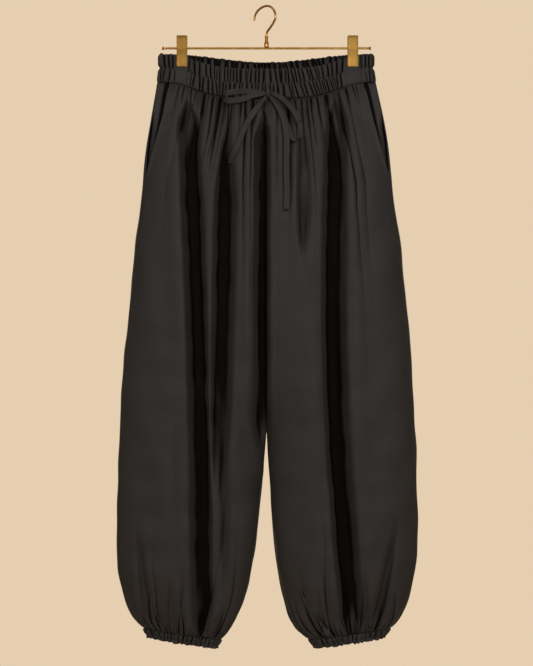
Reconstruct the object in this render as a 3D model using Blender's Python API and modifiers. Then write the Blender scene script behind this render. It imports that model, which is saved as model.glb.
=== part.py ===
"""Balloon joggers, gathered at the waist and ankles, clipped to a slim wire hanger.

The garment hangs facing -Y. Left and right are as seen from the front, so left is at -X.
The origin is the inside of the hook's crown, where a rail would carry the hanger. Heights in
the tables are distances down from there. Sizes are in millimetres, and MM turns them into
metres where a mesh or a curve is made.
"""

import math

import bmesh
import bpy
import numpy as np
from mathutils import Matrix, Vector

MM = 0.001
LEFT, RIGHT = -1, 1
FRONT, BACK = 1, -1

# Cloth
SEAM_GAP = 0.3
PANEL_WALL = 1.6
BAND_WALL = 2.4
FACING_WALL = 1.2

# Heights, as distances down from the hook's crown at the side seams
WAIST_TOP = 79.4
WAIST_SEAM = 128.0
CROTCH = 724.0
CUFF_SEAM = 1056.0
CUFF_HEM = 1072.0

# Gathers: a wave is two columns, one raised and one sunk
BAND_WAVES = {FRONT: 48, BACK: 36}
PANEL_WAVES = {FRONT: 10, BACK: 7}
# Columns of a panel from its side to the near shoulder of its main fold, to the fold's middle,
# to its far shoulder and to the centre
PANEL_COLUMNS = {FRONT: (7, 2, 2, 9), BACK: (4, 1, 1, 8)}
CUFF_WAVES = 24
BAND_WAVE_HEIGHT = 1.15
PANEL_WAVE_HEIGHT = 4.0
ANKLE_WAVE_HEIGHT = 3.0
CUFF_WAVE_HEIGHT = 1.6
CUFF_DROOP = 1.2
# How far a panel's gathers run before they fade, and the side's plain strip and its fade
GATHER_REACH = (28.0, 85.0)
PLAIN_STRIP, PLAIN_FADE = 5.0, 18.0
# The steepest a wave may be, as a share of the space between its columns
STEEPEST = 0.42

# Hanger
WIRE_RADIUS = 1.9
BAR_DOWN = 70.0
BAR_HALF_LENGTH = 178.0
CLIP_X = {LEFT: -143.6, RIGHT: 146.7}
CLIP_WIDTH = 18.0
CLIP_PLATE = 1.4
CLIP_GRIP_BOTTOM = 101.5
CLIP_GAP = 0.5

# Drawstring
TIE_THICKNESS = 1.8
KNOT_X, KNOT_DOWN = 3.0, 151.0
KNOT_RADII = (6.2, 4.0, 6.0)
KNOT_OFF_BAND = 1.9

# The rings: points in each face, the powers of the sine that round the leg and its side edge,
# how strongly columns crowd to a bend, and the space a fold leaves before the middle plane
FINE = 240
ROUNDNESS = 0.75
EDGE_ROUNDNESS = 0.4
BEND_WEIGHT = 12.0
FOLD_ROOM = 3.0


class Table:
    """Sizes in named columns, read between its rows along a smooth curve with no overshoot."""

    def __init__(self, columns, *rows):
        self.names = columns.split()
        self.rows = rows
        self.columns = dict(zip(self.names, np.array(rows, float).T))

    def read(self, name, at):
        """The named column's value where the first column is `at`."""
        keys = self.columns[self.names[0]]
        values = self.columns[name]
        grades = np.diff(values) / np.diff(keys)
        before, after = grades[:-1], grades[1:]
        level = before * after <= 0
        inside = np.where(level, 0.0, 2 * before * after / np.where(level, 1.0, before + after))
        slopes = np.concatenate((grades[:1], inside, grades[-1:]))
        at = np.clip(at, keys[0], keys[-1])
        row = np.clip(np.searchsorted(keys, at, side="right") - 1, 0, len(keys) - 2)
        step = keys[row + 1] - keys[row]
        part = (at - keys[row]) / step
        rise = 3 * part**2 - 2 * part**3
        return (
            values[row] * (1 - rise)
            + values[row + 1] * rise
            + step * slopes[row] * (part**3 - 2 * part**2 + part)
            + step * slopes[row + 1] * (part**3 - part**2)
        )


# How far each side's outline lies from the centre
OUTER = Table(
    "down   left   right",
    (79,   185.0, 184.0),
    (104,  185.0, 184.0),
    (128,  187.0, 187.0),
    (148,  190.0, 191.0),
    (192,  197.0, 200.0),
    (243,  205.0, 208.0),
    (294,  210.0, 213.0),
    (345,  215.0, 218.0),
    (396,  222.0, 227.0),
    (447,  227.0, 232.0),
    (549,  237.0, 242.0),
    (651,  246.0, 249.0),
    (760,  251.0, 254.0),
    (868,  254.0, 257.0),
    (923,  254.0, 256.0),
    (950,  253.0, 254.0),
    (977,  248.0, 249.0),
    (1004, 241.0, 242.0),
    (1032, 229.0, 230.0),
    (1045, 219.0, 221.0),
    (1056, 208.0, 210.0),
    (1072, 200.0, 200.0),
)

# How far each leg's inner edge lies from the centre, below the crotch
INNER = Table(
    "down   left  right",
    (724,   0.2,   0.2),
    (760,   3.0,   2.0),
    (814,   8.0,   6.0),
    (868,  13.0,   9.0),
    (923,  20.0,  16.0),
    (950,  25.0,  19.0),
    (977,  30.0,  24.0),
    (1004, 37.0,  31.0),
    (1032, 49.0,  40.0),
    (1059, 64.0,  55.0),
    (1075, 76.8,  71.7),
    (1090, 85.0,  82.3),
)

# The rings' depths. depth: a leg's round form; bulge: the slack between the clips; flat: half
# the space between front and back where they lie together; close: how far round, in degrees,
# a panel reaches, from 90 at a flat centre front to 180 where it meets the inseam.
# sag: how much lower the middle hangs than the sides.
SHAPE = Table(
    "down front_depth back_depth front_bulge back_bulge flat front_close back_close front_sag back_sag",
    (79,    0.0,  0.0, 22.0, 14.0, 1.7,  90.0,  90.0, 28.5, 12.7),
    (104,   0.0,  0.0, 26.0, 16.0, 1.8,  90.0,  90.0, 29.5, 13.0),
    (128,   0.0,  0.0, 29.0, 18.0, 3.6,  90.0,  90.0, 31.5, 14.0),
    (145,   8.0,  9.0, 27.0, 17.0, 4.0,  91.0,  92.0, 29.0, 13.0),
    (165,  16.0, 18.0, 24.0, 15.0, 4.0,  93.0,  94.0, 26.0, 12.0),
    (200,  26.0, 29.0, 18.0, 12.0, 4.0,  96.0,  98.0, 21.0,  9.5),
    (250,  35.0, 40.0, 11.0,  7.0, 4.0, 100.0, 103.0, 14.5,  6.5),
    (320,  42.0, 47.0,  4.0,  2.5, 4.0, 107.0, 110.0,  7.0,  3.0),
    (400,  47.0, 52.0,  0.0,  0.0, 4.0, 115.0, 118.0,  1.5,  0.5),
    (500,  50.0, 54.0,  0.0,  0.0, 4.0, 127.0, 129.0,  0.0,  0.0),
    (600,  50.0, 54.0,  0.0,  0.0, 4.0, 142.0, 143.0,  0.0,  0.0),
    (670,  50.0, 52.0,  0.0,  0.0, 4.0, 158.0, 158.0,  0.0,  0.0),
    (724,  49.0, 50.0,  0.0,  0.0, 4.0, 180.0, 180.0,  0.0,  0.0),
    (800,  47.0, 48.0,  0.0,  0.0, 4.0, 180.0, 180.0,  0.0,  0.0),
    (900,  44.0, 46.0,  0.0,  0.0, 4.0, 180.0, 180.0,  0.0,  0.0),
    (970,  39.0, 41.0,  0.0,  0.0, 4.0, 180.0, 180.0,  0.0,  0.0),
    (1010, 32.0, 34.0,  0.0,  0.0, 4.0, 180.0, 180.0,  0.0,  0.0),
    (1040, 22.0, 24.0,  0.0,  0.0, 4.0, 180.0, 180.0,  0.0,  0.0),
    (1056, 14.0, 15.0,  0.0,  0.0, 4.0, 180.0, 180.0,  0.0,  0.0),
    (1072, 12.0, 13.0,  0.0,  0.0, 4.0, 180.0, 180.0,  0.0,  0.0),
)

# seam_forward: how far the side seam lies in front of the side; mouth: how far the pocket's
# mouth lies in front of that seam; inner_drop: how much lower a leg's inner edge is than its
# outer edge, from the tilt of the ankle.
SEAMS = Table(
    "down seam_forward mouth inner_drop",
    (79,    0.0,  0.0,  0.0),
    (128,   0.0, 20.0,  0.0),
    (180,   3.0, 20.0,  0.0),
    (220,   7.0, 16.0,  0.0),
    (260,  12.0,  9.0,  0.0),
    (290,  15.0,  2.5,  0.0),
    (304,  17.0,  0.0,  0.0),
    (420,  22.0,  0.0,  0.0),
    (600,  22.0,  0.0,  0.0),
    (900,  24.0,  0.0,  0.0),
    (950,  22.0,  0.0,  3.0),
    (991,  18.0,  0.0,  7.0),
    (1018, 12.0,  0.0, 11.0),
    (1045,  6.0,  0.0, 16.0),
    (1056,  4.0,  0.0, 19.0),
    (1072,  4.0,  0.0, 17.5),
)

# The hanging folds: soft troughs from (top_x, top) down to (bottom_x, bottom)
FOLDS = Table(
    "face  top_x   top  bottom_x bottom sway width depth fade",
    (FRONT, -127,  150,  -119,   1056,   2,   13,   15,   90),
    (FRONT,  -66,  175,   -60,    570,   3,   12,   10,  120),
    (FRONT,   -5,  185,     0,    724,   0,    9,   18,   70),
    (FRONT,  112,  150,   135,   1056,   4,   12,   14,   85),
    (FRONT,   64,  215,    63,    400,   0,   13,    8,   70),
    (FRONT,  -86,  860,   -86,   1040,   0,   15,    6,   70),
    (FRONT, -213,  890,  -197,   1052,   0,   10,    8,   60),
    (FRONT, -157,  980,  -165,   1056,   0,    9,    6,   36),
    (FRONT,  221,  880,   180,   1056,   0,   10,    8,   60),
    (FRONT,   84, 1005,    98,   1072,   0,    9,    7,   28),
    (FRONT,  169,  985,   169,   1056,   0,    9,    5,   36),
    (BACK,  -138,  150,  -126,   1056,   3,   14,   14,  100),
    (BACK,   -58,  170,   -64,    520,   4,   13,   10,  120),
    (BACK,     0,  190,     0,    724,   0,   12,   13,   90),
    (BACK,   120,  150,   128,   1056,   3,   13,   14,  100),
    (BACK,    55,  180,    60,    450,   3,   13,    9,  120),
    (BACK,  -208,  890,  -190,   1052,   0,   11,    8,   60),
    (BACK,  -85,   960,   -98,   1066,   0,    9,    7,   40),
    (BACK,   212,  880,   186,   1052,   0,   11,    8,   60),
    (BACK,    90,  970,   100,   1066,   0,    9,    7,   40),
)

# The sag is flat beside the clips and steepest just inside them
SAG_HALF_WIDTH = {FRONT: 145.0, BACK: 138.0}
SAG_POWER = {FRONT: 2.6, BACK: 1.6}
SAG_EASE = 0.25
BULGE_HALF_WIDTH = 134.0
# Outside each clip the waistband's end opens into a small loop
END_LOOP_INSIDE = 157.0
END_LOOP_WIDTH = 26.0
END_LOOP_DEPTH = 3.6
END_LOOP_FADE = 60.0

# out: distance in front of the cloth; turn: the ribbon's width, in degrees from +X towards +Z
TIE_LOOP_LEFT = Table(
    "x     down   out  turn width",
    (-3.6,  150.0,  6.8, 90,  6.0),
    (-26.0, 147.5,  7.0, 90, 10.0),
    (-47.0, 147.0,  7.0, 90, 11.0),
    (-62.0, 148.5,  9.0, 88, 11.0),
    (-69.5, 152.5, 13.5, 85, 11.0),
    (-69.5, 159.0, 18.5, 85, 11.0),
    (-61.0, 164.0, 21.0, 92, 11.0),
    (-44.0, 162.5, 20.5, 98, 11.0),
    (-25.0, 156.5, 16.5, 98, 10.0),
    (-1.4,  151.5, 10.9, 95,  6.0),
)
TIE_LOOP_RIGHT = Table(
    "x     down   out  turn width",
    (8.6,  150.5, 11.7, 70,  6.0),
    (25.5, 160.0, 17.0, 55,  9.0),
    (40.0, 175.0, 20.0, 45, 10.0),
    (51.0, 192.0, 21.0, 35, 10.0),
    (56.5, 209.0, 20.5, 30, 10.0),
    (55.5, 222.0, 17.5, 30, 10.0),
    (49.0, 230.0, 13.0, 30, 10.0),
    (41.5, 225.0,  8.5, 30, 10.0),
    (35.5, 209.0,  7.0, 30, 10.0),
    (28.0, 188.0,  6.5, 35,  9.5),
    (20.0, 170.0,  6.5, 40,  8.0),
    (9.9,  154.9,  6.6, 50,  6.0),
)
TIE_TAIL_LEFT = Table(
    "x     down   out  turn width",
    (-0.4,  156.2,  8.3, -30,  6.5),
    (-11.0, 170.0, 10.5, -32,  9.0),
    (-24.0, 188.0,  9.5, -30, 11.0),
    (-36.0, 209.0,  8.5, -26, 11.0),
    (-46.5, 234.0,  8.0, -22, 11.0),
    (-55.5, 256.0,  7.5, -20, 11.0),
    (-60.5, 270.0,  7.5, -18, 11.0),
)
TIE_TAIL_RIGHT = Table(
    "x     down   out  turn width",
    (5.8,  156.3,  8.6, 25,  6.0),
    (16.0, 170.0, 11.5, 25,  8.0),
    (24.5, 186.0, 11.5, 20, 10.0),
    (31.0, 206.0, 11.0, 12, 10.5),
    (34.0, 234.0, 11.0,  4, 10.5),
    (33.5, 277.0,  9.0, -3, 10.5),
    (34.0, 319.0,  8.0,  0, 10.5),
    (33.0, 348.0,  8.0,  3, 10.5),
)

# The wire from the tip, behind the rail, over the crown and down to the collar
HOOK_TURN = math.radians(40)
HOOK_TIP_REACH = 27.0
HOOK_FRONT_REACH = 20.0
HOOK_HEIGHT = 21.0
HOOK_NECK = (
    (11.0, -8.8, -29.0),
    (6.0, -4.8, -36.0),
    (1.4, -1.1, -42.0),
    (0.0, 0.0, -46.5),
    (0.0, 0.0, -50.0),
    (0.0, 0.0, -67.0),
)

CLOTH = ("cloth", (0.030, 0.027, 0.025), 0.62, 0.0)
BRASS = ("brass", (0.62, 0.41, 0.15), 0.30, 1.0)


def smooth_step(value):
    """0 to 1 with a flat start and end, as the value goes from 0 to 1."""
    part = np.clip(value, 0, 1)
    return part * part * (3 - 2 * part)


def face_name(face):
    """The word for a face, as the tables and nodes use it."""
    return "front" if face == FRONT else "back"


def side_name(leg):
    """The word for a side, as the tables and nodes use it."""
    return "left" if leg == LEFT else "right"


def folds_on(face):
    """The rows of the fold table for one face, each with its column names."""
    return [dict(zip(FOLDS.names, row)) for row in FOLDS.rows if row[0] == face]


def fold_middle(fold, down):
    """Where across the garment a fold lies at a height."""
    part = (down - fold["top"]) / (fold["bottom"] - fold["top"])
    straight = fold["top_x"] + (fold["bottom_x"] - fold["top_x"]) * part
    return straight + fold["sway"] * np.sin(2 * np.pi * part)


def fold_depth(face, x, down):
    """How far the hanging folds sink a face of the cloth at a place, with a low lip on each side."""
    depth = np.zeros_like(x)
    for fold in folds_on(face):
        away = (x - fold_middle(fold, down)) / fold["width"]
        trough = np.exp(-away**2) - 0.25 * np.exp(-((np.abs(away) - 2.0) ** 2))
        start = smooth_step((down - fold["top"]) / fold["fade"])
        end = smooth_step((fold["bottom"] - down) / fold["fade"] + 0.6)
        depth = depth + fold["depth"] * trough * start * end
    return depth


class Ring:
    """One leg's cross-section, from the back's inner edge round the side to the front's.

    at: fine points (x, y, z); out: their level outward directions; along: distance along the
    cloth; side: that distance at the side; spread: how its columns are shared out.
    """

    def __init__(self, leg, down, split):
        self.leg = leg
        self.down = down
        _, lean, _ = self.points(0.0)
        clearance = PANEL_WALL / 2 + SEAM_GAP / 2 if split else 0.0
        ends = np.linspace(abs(lean[0, 0]), abs(lean[-1, 0]), 2 * FINE + 1)
        points, out, spread = self.points(ends * clearance)
        steps = np.linalg.norm(np.diff(points[:, :2], axis=0), axis=1)
        self.at = points
        self.out = out
        self.along = np.concatenate(([0], np.cumsum(steps)))
        self.side = self.along[FINE]
        self.spread = spread

    def points(self, clearance):
        """The ring with its centre edges held off the middle by a clearance."""
        down, leg = self.down, self.leg
        drop = SEAMS.read("inner_drop", down)
        outer = OUTER.read(side_name(leg), down) - PANEL_WALL / 2
        inner = clearance
        if down > CROTCH:
            inner = INNER.read(side_name(leg), down + drop) + PANEL_WALL / 2
        front_close = math.radians(SHAPE.read("front_close", down))
        back_close = math.radians(SHAPE.read("back_close", down))
        back_turn = np.linspace(-back_close, 0, FINE + 1)
        turn = np.concatenate((back_turn, np.linspace(0, front_close, FINE + 1)[1:]))
        front = turn >= 0
        across = (1 - np.cos(turn)) / (1 - np.cos(np.where(front, front_close, back_close)))
        width = np.abs(outer + (inner - outer) * across)
        rise = np.abs(np.sin(turn))
        half_loop = END_LOOP_WIDTH / 2
        loop = np.exp(-2 * ((width - END_LOOP_INSIDE - half_loop) / half_loop) ** 2)
        loop = loop * END_LOOP_DEPTH * smooth_step((WAIST_SEAM - down) / END_LOOP_FADE + 1)
        bump = np.cos(np.clip(width / BULGE_HALF_WIDTH, 0, 1) * np.pi / 2) ** 2
        y = np.zeros_like(turn)
        z = -down - drop * across
        for face, chosen in ((FRONT, front), (BACK, ~front)):
            word = face_name(face)
            depth = SHAPE.read(word + "_depth", down) * rise**ROUNDNESS
            depth = depth + (SHAPE.read("flat", down) + loop) * rise**EDGE_ROUNDNESS
            depth = depth + SHAPE.read(word + "_bulge", down) * bump
            y = np.where(chosen, -face * depth, y)
            sag = 1 - (width / SAG_HALF_WIDTH[face]) ** SAG_POWER[face]
            sag = (sag + np.hypot(sag, SAG_EASE)) / 2 / (0.5 + math.hypot(0.5, SAG_EASE / 2))
            z = np.where(chosen, z - SHAPE.read(word + "_sag", down) * sag, z)
        x = leg * width
        out, bend = self.outward(x, y)
        steps = np.hypot(np.diff(x), np.diff(y)) + BEND_WEIGHT * bend
        spread = np.concatenate(([0], np.cumsum(steps)))
        for face, chosen in ((FRONT, front), (BACK, ~front)):
            sunk = fold_depth(face, x, -z) * np.abs(out[:, 1])
            room = np.clip((np.abs(y) - FOLD_ROOM) / 1.4, 0, None)
            y = np.where(chosen, y + face * np.minimum(sunk, room), y)
        out, _ = self.outward(x, y)
        return np.stack((x, y, z), axis=1), out, spread

    def outward(self, x, y):
        """The level direction out of the cloth at each point, and the bend at each step."""
        tangent = np.stack((np.gradient(x), np.gradient(y)), axis=1)
        tangent /= np.linalg.norm(tangent, axis=1)[:, None]
        bend = np.linalg.norm(np.diff(tangent, axis=0), axis=1)
        return np.stack((tangent[:, 1], -tangent[:, 0]), axis=1) * -self.leg, bend

    def place_of(self, face, x):
        """The distance along at which a face passes a place across the garment."""
        width, along = np.abs(self.at[:, 0]), self.along
        if face == FRONT:
            return np.interp(-abs(x), -width[FINE:], along[FINE:])
        return np.interp(abs(x), width[: FINE + 1], along[: FINE + 1])

    def columns(self, marks, counts, even=False):
        """Points and outward directions at the columns: a count of them from each mark to the next.

        They are evenly spaced, or closer together where the ring bends.
        """
        spread = self.along if even else self.spread
        shares = np.interp(marks, self.along, spread)
        places = [marks[0]]
        for first, last, count, mark in zip(shares, shares[1:], counts, marks[1:]):
            places.extend(np.interp(np.linspace(first, last, count + 1)[1:-1], spread, self.along))
            places.append(mark)
        at = np.stack([np.interp(places, self.along, self.at[:, axis]) for axis in range(3)], axis=1)
        out = np.stack([np.interp(places, self.along, self.out[:, axis]) for axis in range(2)], axis=1)
        out /= np.linalg.norm(out, axis=1)[:, None]
        return at, np.concatenate((out, np.zeros((len(places), 1))), axis=1)


def zigzag(count, rng, first=1):
    """A raised and a sunk column for each wave, of uneven height, level at both ends."""
    heights = rng.uniform(0.55, 1.2, count + 1)
    heights *= np.where(np.arange(count + 1) % 2 == 1, first, -first)
    heights[[0, -1]] = 0.0
    return heights


def panel_downs():
    """The rows of a leg panel: close under the gathers, and close again above the cuff."""
    above, below = 14, 9
    top = WAIST_SEAM + SEAM_GAP / 2
    end = CUFF_SEAM - SEAM_GAP / 2
    upper = [top + (CROTCH - top) * (row / above) ** 1.5 for row in range(above)]
    lower = [CROTCH + (end - CROTCH) * (1 - (1 - row / below) ** 1.6) for row in range(below + 1)]
    return upper + lower


def make_material(look):
    """A plain surface with a colour, a roughness and a metallic value."""
    name, colour, roughness, metallic = look
    material = bpy.data.materials.get(name)
    if material:
        return material
    material = bpy.data.materials.new(name)
    material.use_nodes = True
    shader = material.node_tree.nodes["Principled BSDF"]
    shader.inputs["Base Color"].default_value = (*colour, 1.0)
    shader.inputs["Roughness"].default_value = roughness
    shader.inputs["Metallic"].default_value = metallic
    material.diffuse_color = (*colour, 1.0)
    return material


def add_piece(name, mesh, look, parts):
    """Put a bmesh into the scene as one named, smooth-shaded object."""
    data = bpy.data.meshes.new(name)
    bmesh.ops.recalc_face_normals(mesh, faces=mesh.faces[:])
    mesh.to_mesh(data)
    mesh.free()
    data.shade_smooth()
    data.set_sharp_from_angle(angle=math.radians(28))
    data.materials.append(make_material(look))
    piece = bpy.data.objects.new(name, data)
    parts.objects.link(piece)
    return piece


def wall(name, outer, inner, look, parts, closed=False):
    """A wall of cloth or plate between two sheets of points, each a list of rows.

    The outer sheet is a grid, which is thickened by extruding it, and the copy's points are
    moved to the inner sheet. A closed wall's last column is its first.
    """
    outer, inner = np.asarray(outer) * MM, np.asarray(inner) * MM
    rows, columns = outer.shape[:2]
    mesh = bmesh.new()
    number = mesh.verts.layers.int.new("number")
    sheet = bmesh.ops.create_grid(mesh, x_segments=columns - 1, y_segments=rows - 1, size=1)["verts"]
    sheet.sort(key=lambda vert: (round(vert.co.y, 4), round(vert.co.x, 4)))
    for index, vert in enumerate(sheet):
        vert[number] = index
        vert.co = outer[index // columns, index % columns]
    if closed:
        bmesh.ops.remove_doubles(mesh, verts=mesh.verts[:], dist=0.01 * MM)
    copy = bmesh.ops.extrude_face_region(mesh, geom=mesh.faces[:], use_keep_orig=True)["geom"]
    for vert in copy:
        if isinstance(vert, bmesh.types.BMVert):
            index = vert[number]
            vert.co = inner[index // columns, index % columns]
    return add_piece(name, mesh, look, parts)


def make_panel(leg, face, parts):
    """One leg panel, from the waist seam to the cuff, from the side to the centre or inseam.

    Its columns follow its longest fold, which is the first on its side in the fold table.
    """
    rng = np.random.default_rng(10 + 2 * leg + face)
    count = 2 * PANEL_WAVES[face]
    lead = next(fold for fold in folds_on(face) if fold["top_x"] * leg > 0)
    waist_wave = zigzag(count, rng)
    ankle_wave = zigzag(count, rng)
    reach = rng.uniform(*GATHER_REACH, count + 1)
    outer, inner = [], []
    for down in panel_downs():
        ring = Ring(leg, down, split=True)
        seam = ring.side + SEAMS.read("seam_forward", down)
        middle = abs(fold_middle(lead, down))
        marks = [ring.place_of(face, middle + step * lead["width"]) for step in (1, 0, -1)]
        if face == FRONT:
            start = seam + max(SEAMS.read("mouth", down), 0) + SEAM_GAP / 2
            end = ring.along[-1] - SEAM_GAP / 2
        else:
            start, end = seam - SEAM_GAP / 2, SEAM_GAP / 2
        at, out = ring.columns([start, *marks, end], PANEL_COLUMNS[face])
        gaps = np.linalg.norm(np.gradient(at[:, :2], axis=0), axis=1)
        below = down - WAIST_SEAM
        above = CUFF_SEAM - down
        wave = PANEL_WAVE_HEIGHT * waist_wave * np.exp(-((below / reach) ** 1.3))
        wave = wave + ANKLE_WAVE_HEIGHT * ankle_wave * np.exp(-((above / reach * 1.6) ** 1.3))
        from_edge = np.linalg.norm(at[:, :2] - at[0, :2], axis=1)
        wave = np.clip(wave, -STEEPEST * gaps, STEEPEST * gaps)
        wave = (wave * smooth_step((from_edge - PLAIN_STRIP) / PLAIN_FADE))[:, None]
        outer.append(at + out * (PANEL_WALL / 2 + wave))
        inner.append(at + out * (wave - PANEL_WALL / 2))
    wall(f"{face_name(face)}_{side_name(leg)}", outer, inner, CLOTH, parts)


def make_pocket(leg, parts):
    """The facing behind a slanted mouth.

    At the top it meets the back panel and lies just under the front one. Lower down it is
    sunk deeper and reaches a little way under both.
    """
    bottom, count = 320.0, 7
    under, shallow, deep = 6.0, 0.4, 1.6
    outer, inner = [], []
    for down in [down for down in panel_downs() if down < bottom - 10] + [bottom]:
        ring = Ring(leg, down, split=True)
        seam = ring.side + SEAMS.read("seam_forward", down)
        mouth = max(SEAMS.read("mouth", down), 0)
        start = SEAM_GAP / 2 - under / 2 * smooth_step((down - 225) / 40)
        at, out = ring.columns([seam + start, seam + mouth + under], [count], even=True)
        gap = shallow + (deep - shallow) * smooth_step((down - WAIST_SEAM) / 60)
        sinks = smooth_step(np.arange(count + 1) * 2 / count)
        sinks = np.maximum(sinks, smooth_step((down - 160) / 60))[:, None]
        sinks = sinks * (PANEL_WALL / 2 + gap + FACING_WALL / 2)
        outer.append(at - out * (sinks - FACING_WALL / 2))
        inner.append(at - out * (sinks + FACING_WALL / 2))
    wall(f"pocket_{side_name(leg)}", outer, inner, CLOTH, parts)


def make_waistband(face, parts):
    """The gathered casing of one face, from side seam to side seam, in two padded channels."""
    rng = np.random.default_rng(40 + face)
    half = BAND_WAVES[face]
    waves = zigzag(2 * half, rng)
    places = np.arange(2 * half + 1)
    shifted = places + rng.uniform(-0.22, 0.22, 2 * half + 1)
    shifted[[0, half, -1]] = 0, half, 2 * half
    rows = Table(
        "part puff wave",
        (0.00, 0.1, 0.8),
        (0.24, 0.8, 1.0),
        (0.47, 0.0, 0.5),
        (0.53, 0.0, 0.5),
        (0.77, 0.8, 1.0),
        (1.00, 0.0, 0.7),
    )
    outer, inner = [], []
    for part, puff, wave in rows.rows:
        down = WAIST_TOP + (WAIST_SEAM - SEAM_GAP / 2 - WAIST_TOP) * part
        sides = []
        for leg in (LEFT, RIGHT):
            ring = Ring(leg, down, split=False)
            ends = (ring.side, ring.along[-1]) if face == FRONT else (ring.side, 0.0)
            sides.append(ring.columns(ends, [half], even=True))
        at = np.concatenate((sides[0][0], sides[1][0][-2::-1]))
        out = np.concatenate((sides[0][1], sides[1][1][-2::-1]))
        at[0, 1] = at[-1, 1] = -face * SEAM_GAP / 2
        at = np.stack([np.interp(shifted, places, at[:, axis]) for axis in range(3)], axis=1)
        from_clip = np.minimum(*[np.abs(at[:, 0] - CLIP_X[leg]) for leg in (LEFT, RIGHT)])
        loose = smooth_step((from_clip - CLIP_WIDTH / 2) / 8)
        raised = (puff * loose + BAND_WAVE_HEIGHT * wave * waves * loose)[:, None]
        outer.append(at + out * (BAND_WALL / 2 + raised))
        inside = at - out * BAND_WALL / 2
        inside[1:-1, 1] = -face * np.maximum(-face * inside[1:-1, 1], SEAM_GAP)
        inner.append(inside)
    wall(f"waistband_{face_name(face)}", outer, inner, CLOTH, parts)


def make_cuff(leg, parts):
    """One ankle's elastic casing: a ring whose hem flutes out in small ruffles."""
    rng = np.random.default_rng(60 + leg)
    count = 2 * CUFF_WAVES
    waves = zigzag(count, rng)
    droops = rng.uniform(-CUFF_DROOP, CUFF_DROOP, count + 1)
    droops[-1] = droops[0]
    rows = Table(
        "part puff wave droop",
        (0.00, 0.0, 0.5, 0.0),
        (0.35, 0.7, 0.8, 0.0),
        (0.70, 0.3, 0.7, 0.3),
        (1.00, 0.2, 1.3, 1.0),
    )
    outer, inner = [], []
    for part, puff, wave, droop in rows.rows:
        down = CUFF_SEAM + SEAM_GAP / 2 + (CUFF_HEM - CUFF_SEAM - SEAM_GAP / 2) * part
        ring = Ring(leg, down, split=True)
        at, out = ring.columns([0.0, ring.along[-1]], [count], even=True)
        at[-1], out[-1] = at[0], out[0]
        at[:, 2] -= droops * droop
        swing = (CUFF_WAVE_HEIGHT * wave * waves)[:, None]
        outer.append(at + out * (BAND_WALL / 2 + puff + swing))
        inner.append(at + out * (swing * 0.6 - BAND_WALL / 2))
    wall(f"cuff_{side_name(leg)}", outer, inner, CLOTH, parts, closed=True)


def cloth_reach(face, x, down):
    """How far from the hanger's plane the middle of a face's cloth lies.

    The ring that passes the place is found in a few steps, because its middle sags.
    """
    leg = LEFT if x < 0 else RIGHT
    level = down
    for _ in range(6):
        ring = Ring(leg, level, split=False)
        half = ring.at[FINE:] if face == FRONT else ring.at[: FINE + 1]
        half = half[np.argsort(np.abs(half[:, 0]))]
        level += down + np.interp(abs(x), np.abs(half[:, 0]), half[:, 2])
    return -face * np.interp(abs(x), np.abs(half[:, 0]), half[:, 1])


def curve_through(table, count):
    """Smooth in-between rows of a route, evenly spaced along it."""
    rows = np.array(table.rows, float)
    steps = np.linalg.norm(np.diff(rows[:, :3], axis=0), axis=1)
    along = np.concatenate(([0], np.cumsum(steps)))
    places = np.linspace(0, along[-1], count)
    guide = Table("along " + " ".join(table.names), *np.column_stack((along, rows)))
    return [{name: float(guide.read(name, place)) for name in table.names} for place in places]


def make_ribbon(name, route, count, parts):
    """A flat strand of the drawstring, swept along its route in front of the cloth."""
    stations = curve_through(route, count)
    centres = []
    for row in stations:
        forward = cloth_reach(FRONT, row["x"], row["down"]) + row["out"]
        centres.append(Vector((row["x"], -forward, -row["down"])))
    mesh = bmesh.new()
    loops = []
    section = ((-0.5, 0), (-0.36, 0.5), (0.36, 0.5), (0.5, 0), (0.36, -0.5), (-0.36, -0.5))
    for index, row in enumerate(stations):
        ahead = centres[min(index + 1, count - 1)] - centres[max(index - 1, 0)]
        tangent = ahead.normalized()
        angle = math.radians(row["turn"])
        wide = Vector((math.cos(angle), 0, math.sin(angle)))
        wide = (wide - tangent * wide.dot(tangent)).normalized()
        wide, thick = wide * row["width"], tangent.cross(wide) * TIE_THICKNESS
        corners = [centres[index] + wide * a + thick * b for a, b in section]
        verts = [mesh.verts.new(corner * MM) for corner in corners]
        loops.append([mesh.edges.new(pair) for pair in zip(verts, verts[1:] + verts[:1])])
        if index in (0, count - 1):
            mesh.faces.new(verts)
    for first, second in zip(loops, loops[1:]):
        bmesh.ops.bridge_loops(mesh, edges=first + second)
    add_piece(name, mesh, CLOTH, parts)


def make_knot(parts):
    """The small pulled-tight knot of the bow, seated on the waistband."""
    mesh = bmesh.new()
    bmesh.ops.create_uvsphere(mesh, u_segments=14, v_segments=9, radius=1.0)
    cloth = cloth_reach(FRONT, KNOT_X, KNOT_DOWN)
    forward = cloth + BAND_WALL / 2 + KNOT_OFF_BAND + KNOT_RADII[1]
    centre = Vector((KNOT_X, -forward, -KNOT_DOWN))
    size = Matrix.Diagonal((*KNOT_RADII, 1.0))
    place = Matrix.Scale(MM, 4) @ Matrix.Translation(centre) @ size
    bmesh.ops.transform(mesh, matrix=place, verts=mesh.verts[:])
    add_piece("tie_knot", mesh, CLOTH, parts)


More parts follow.
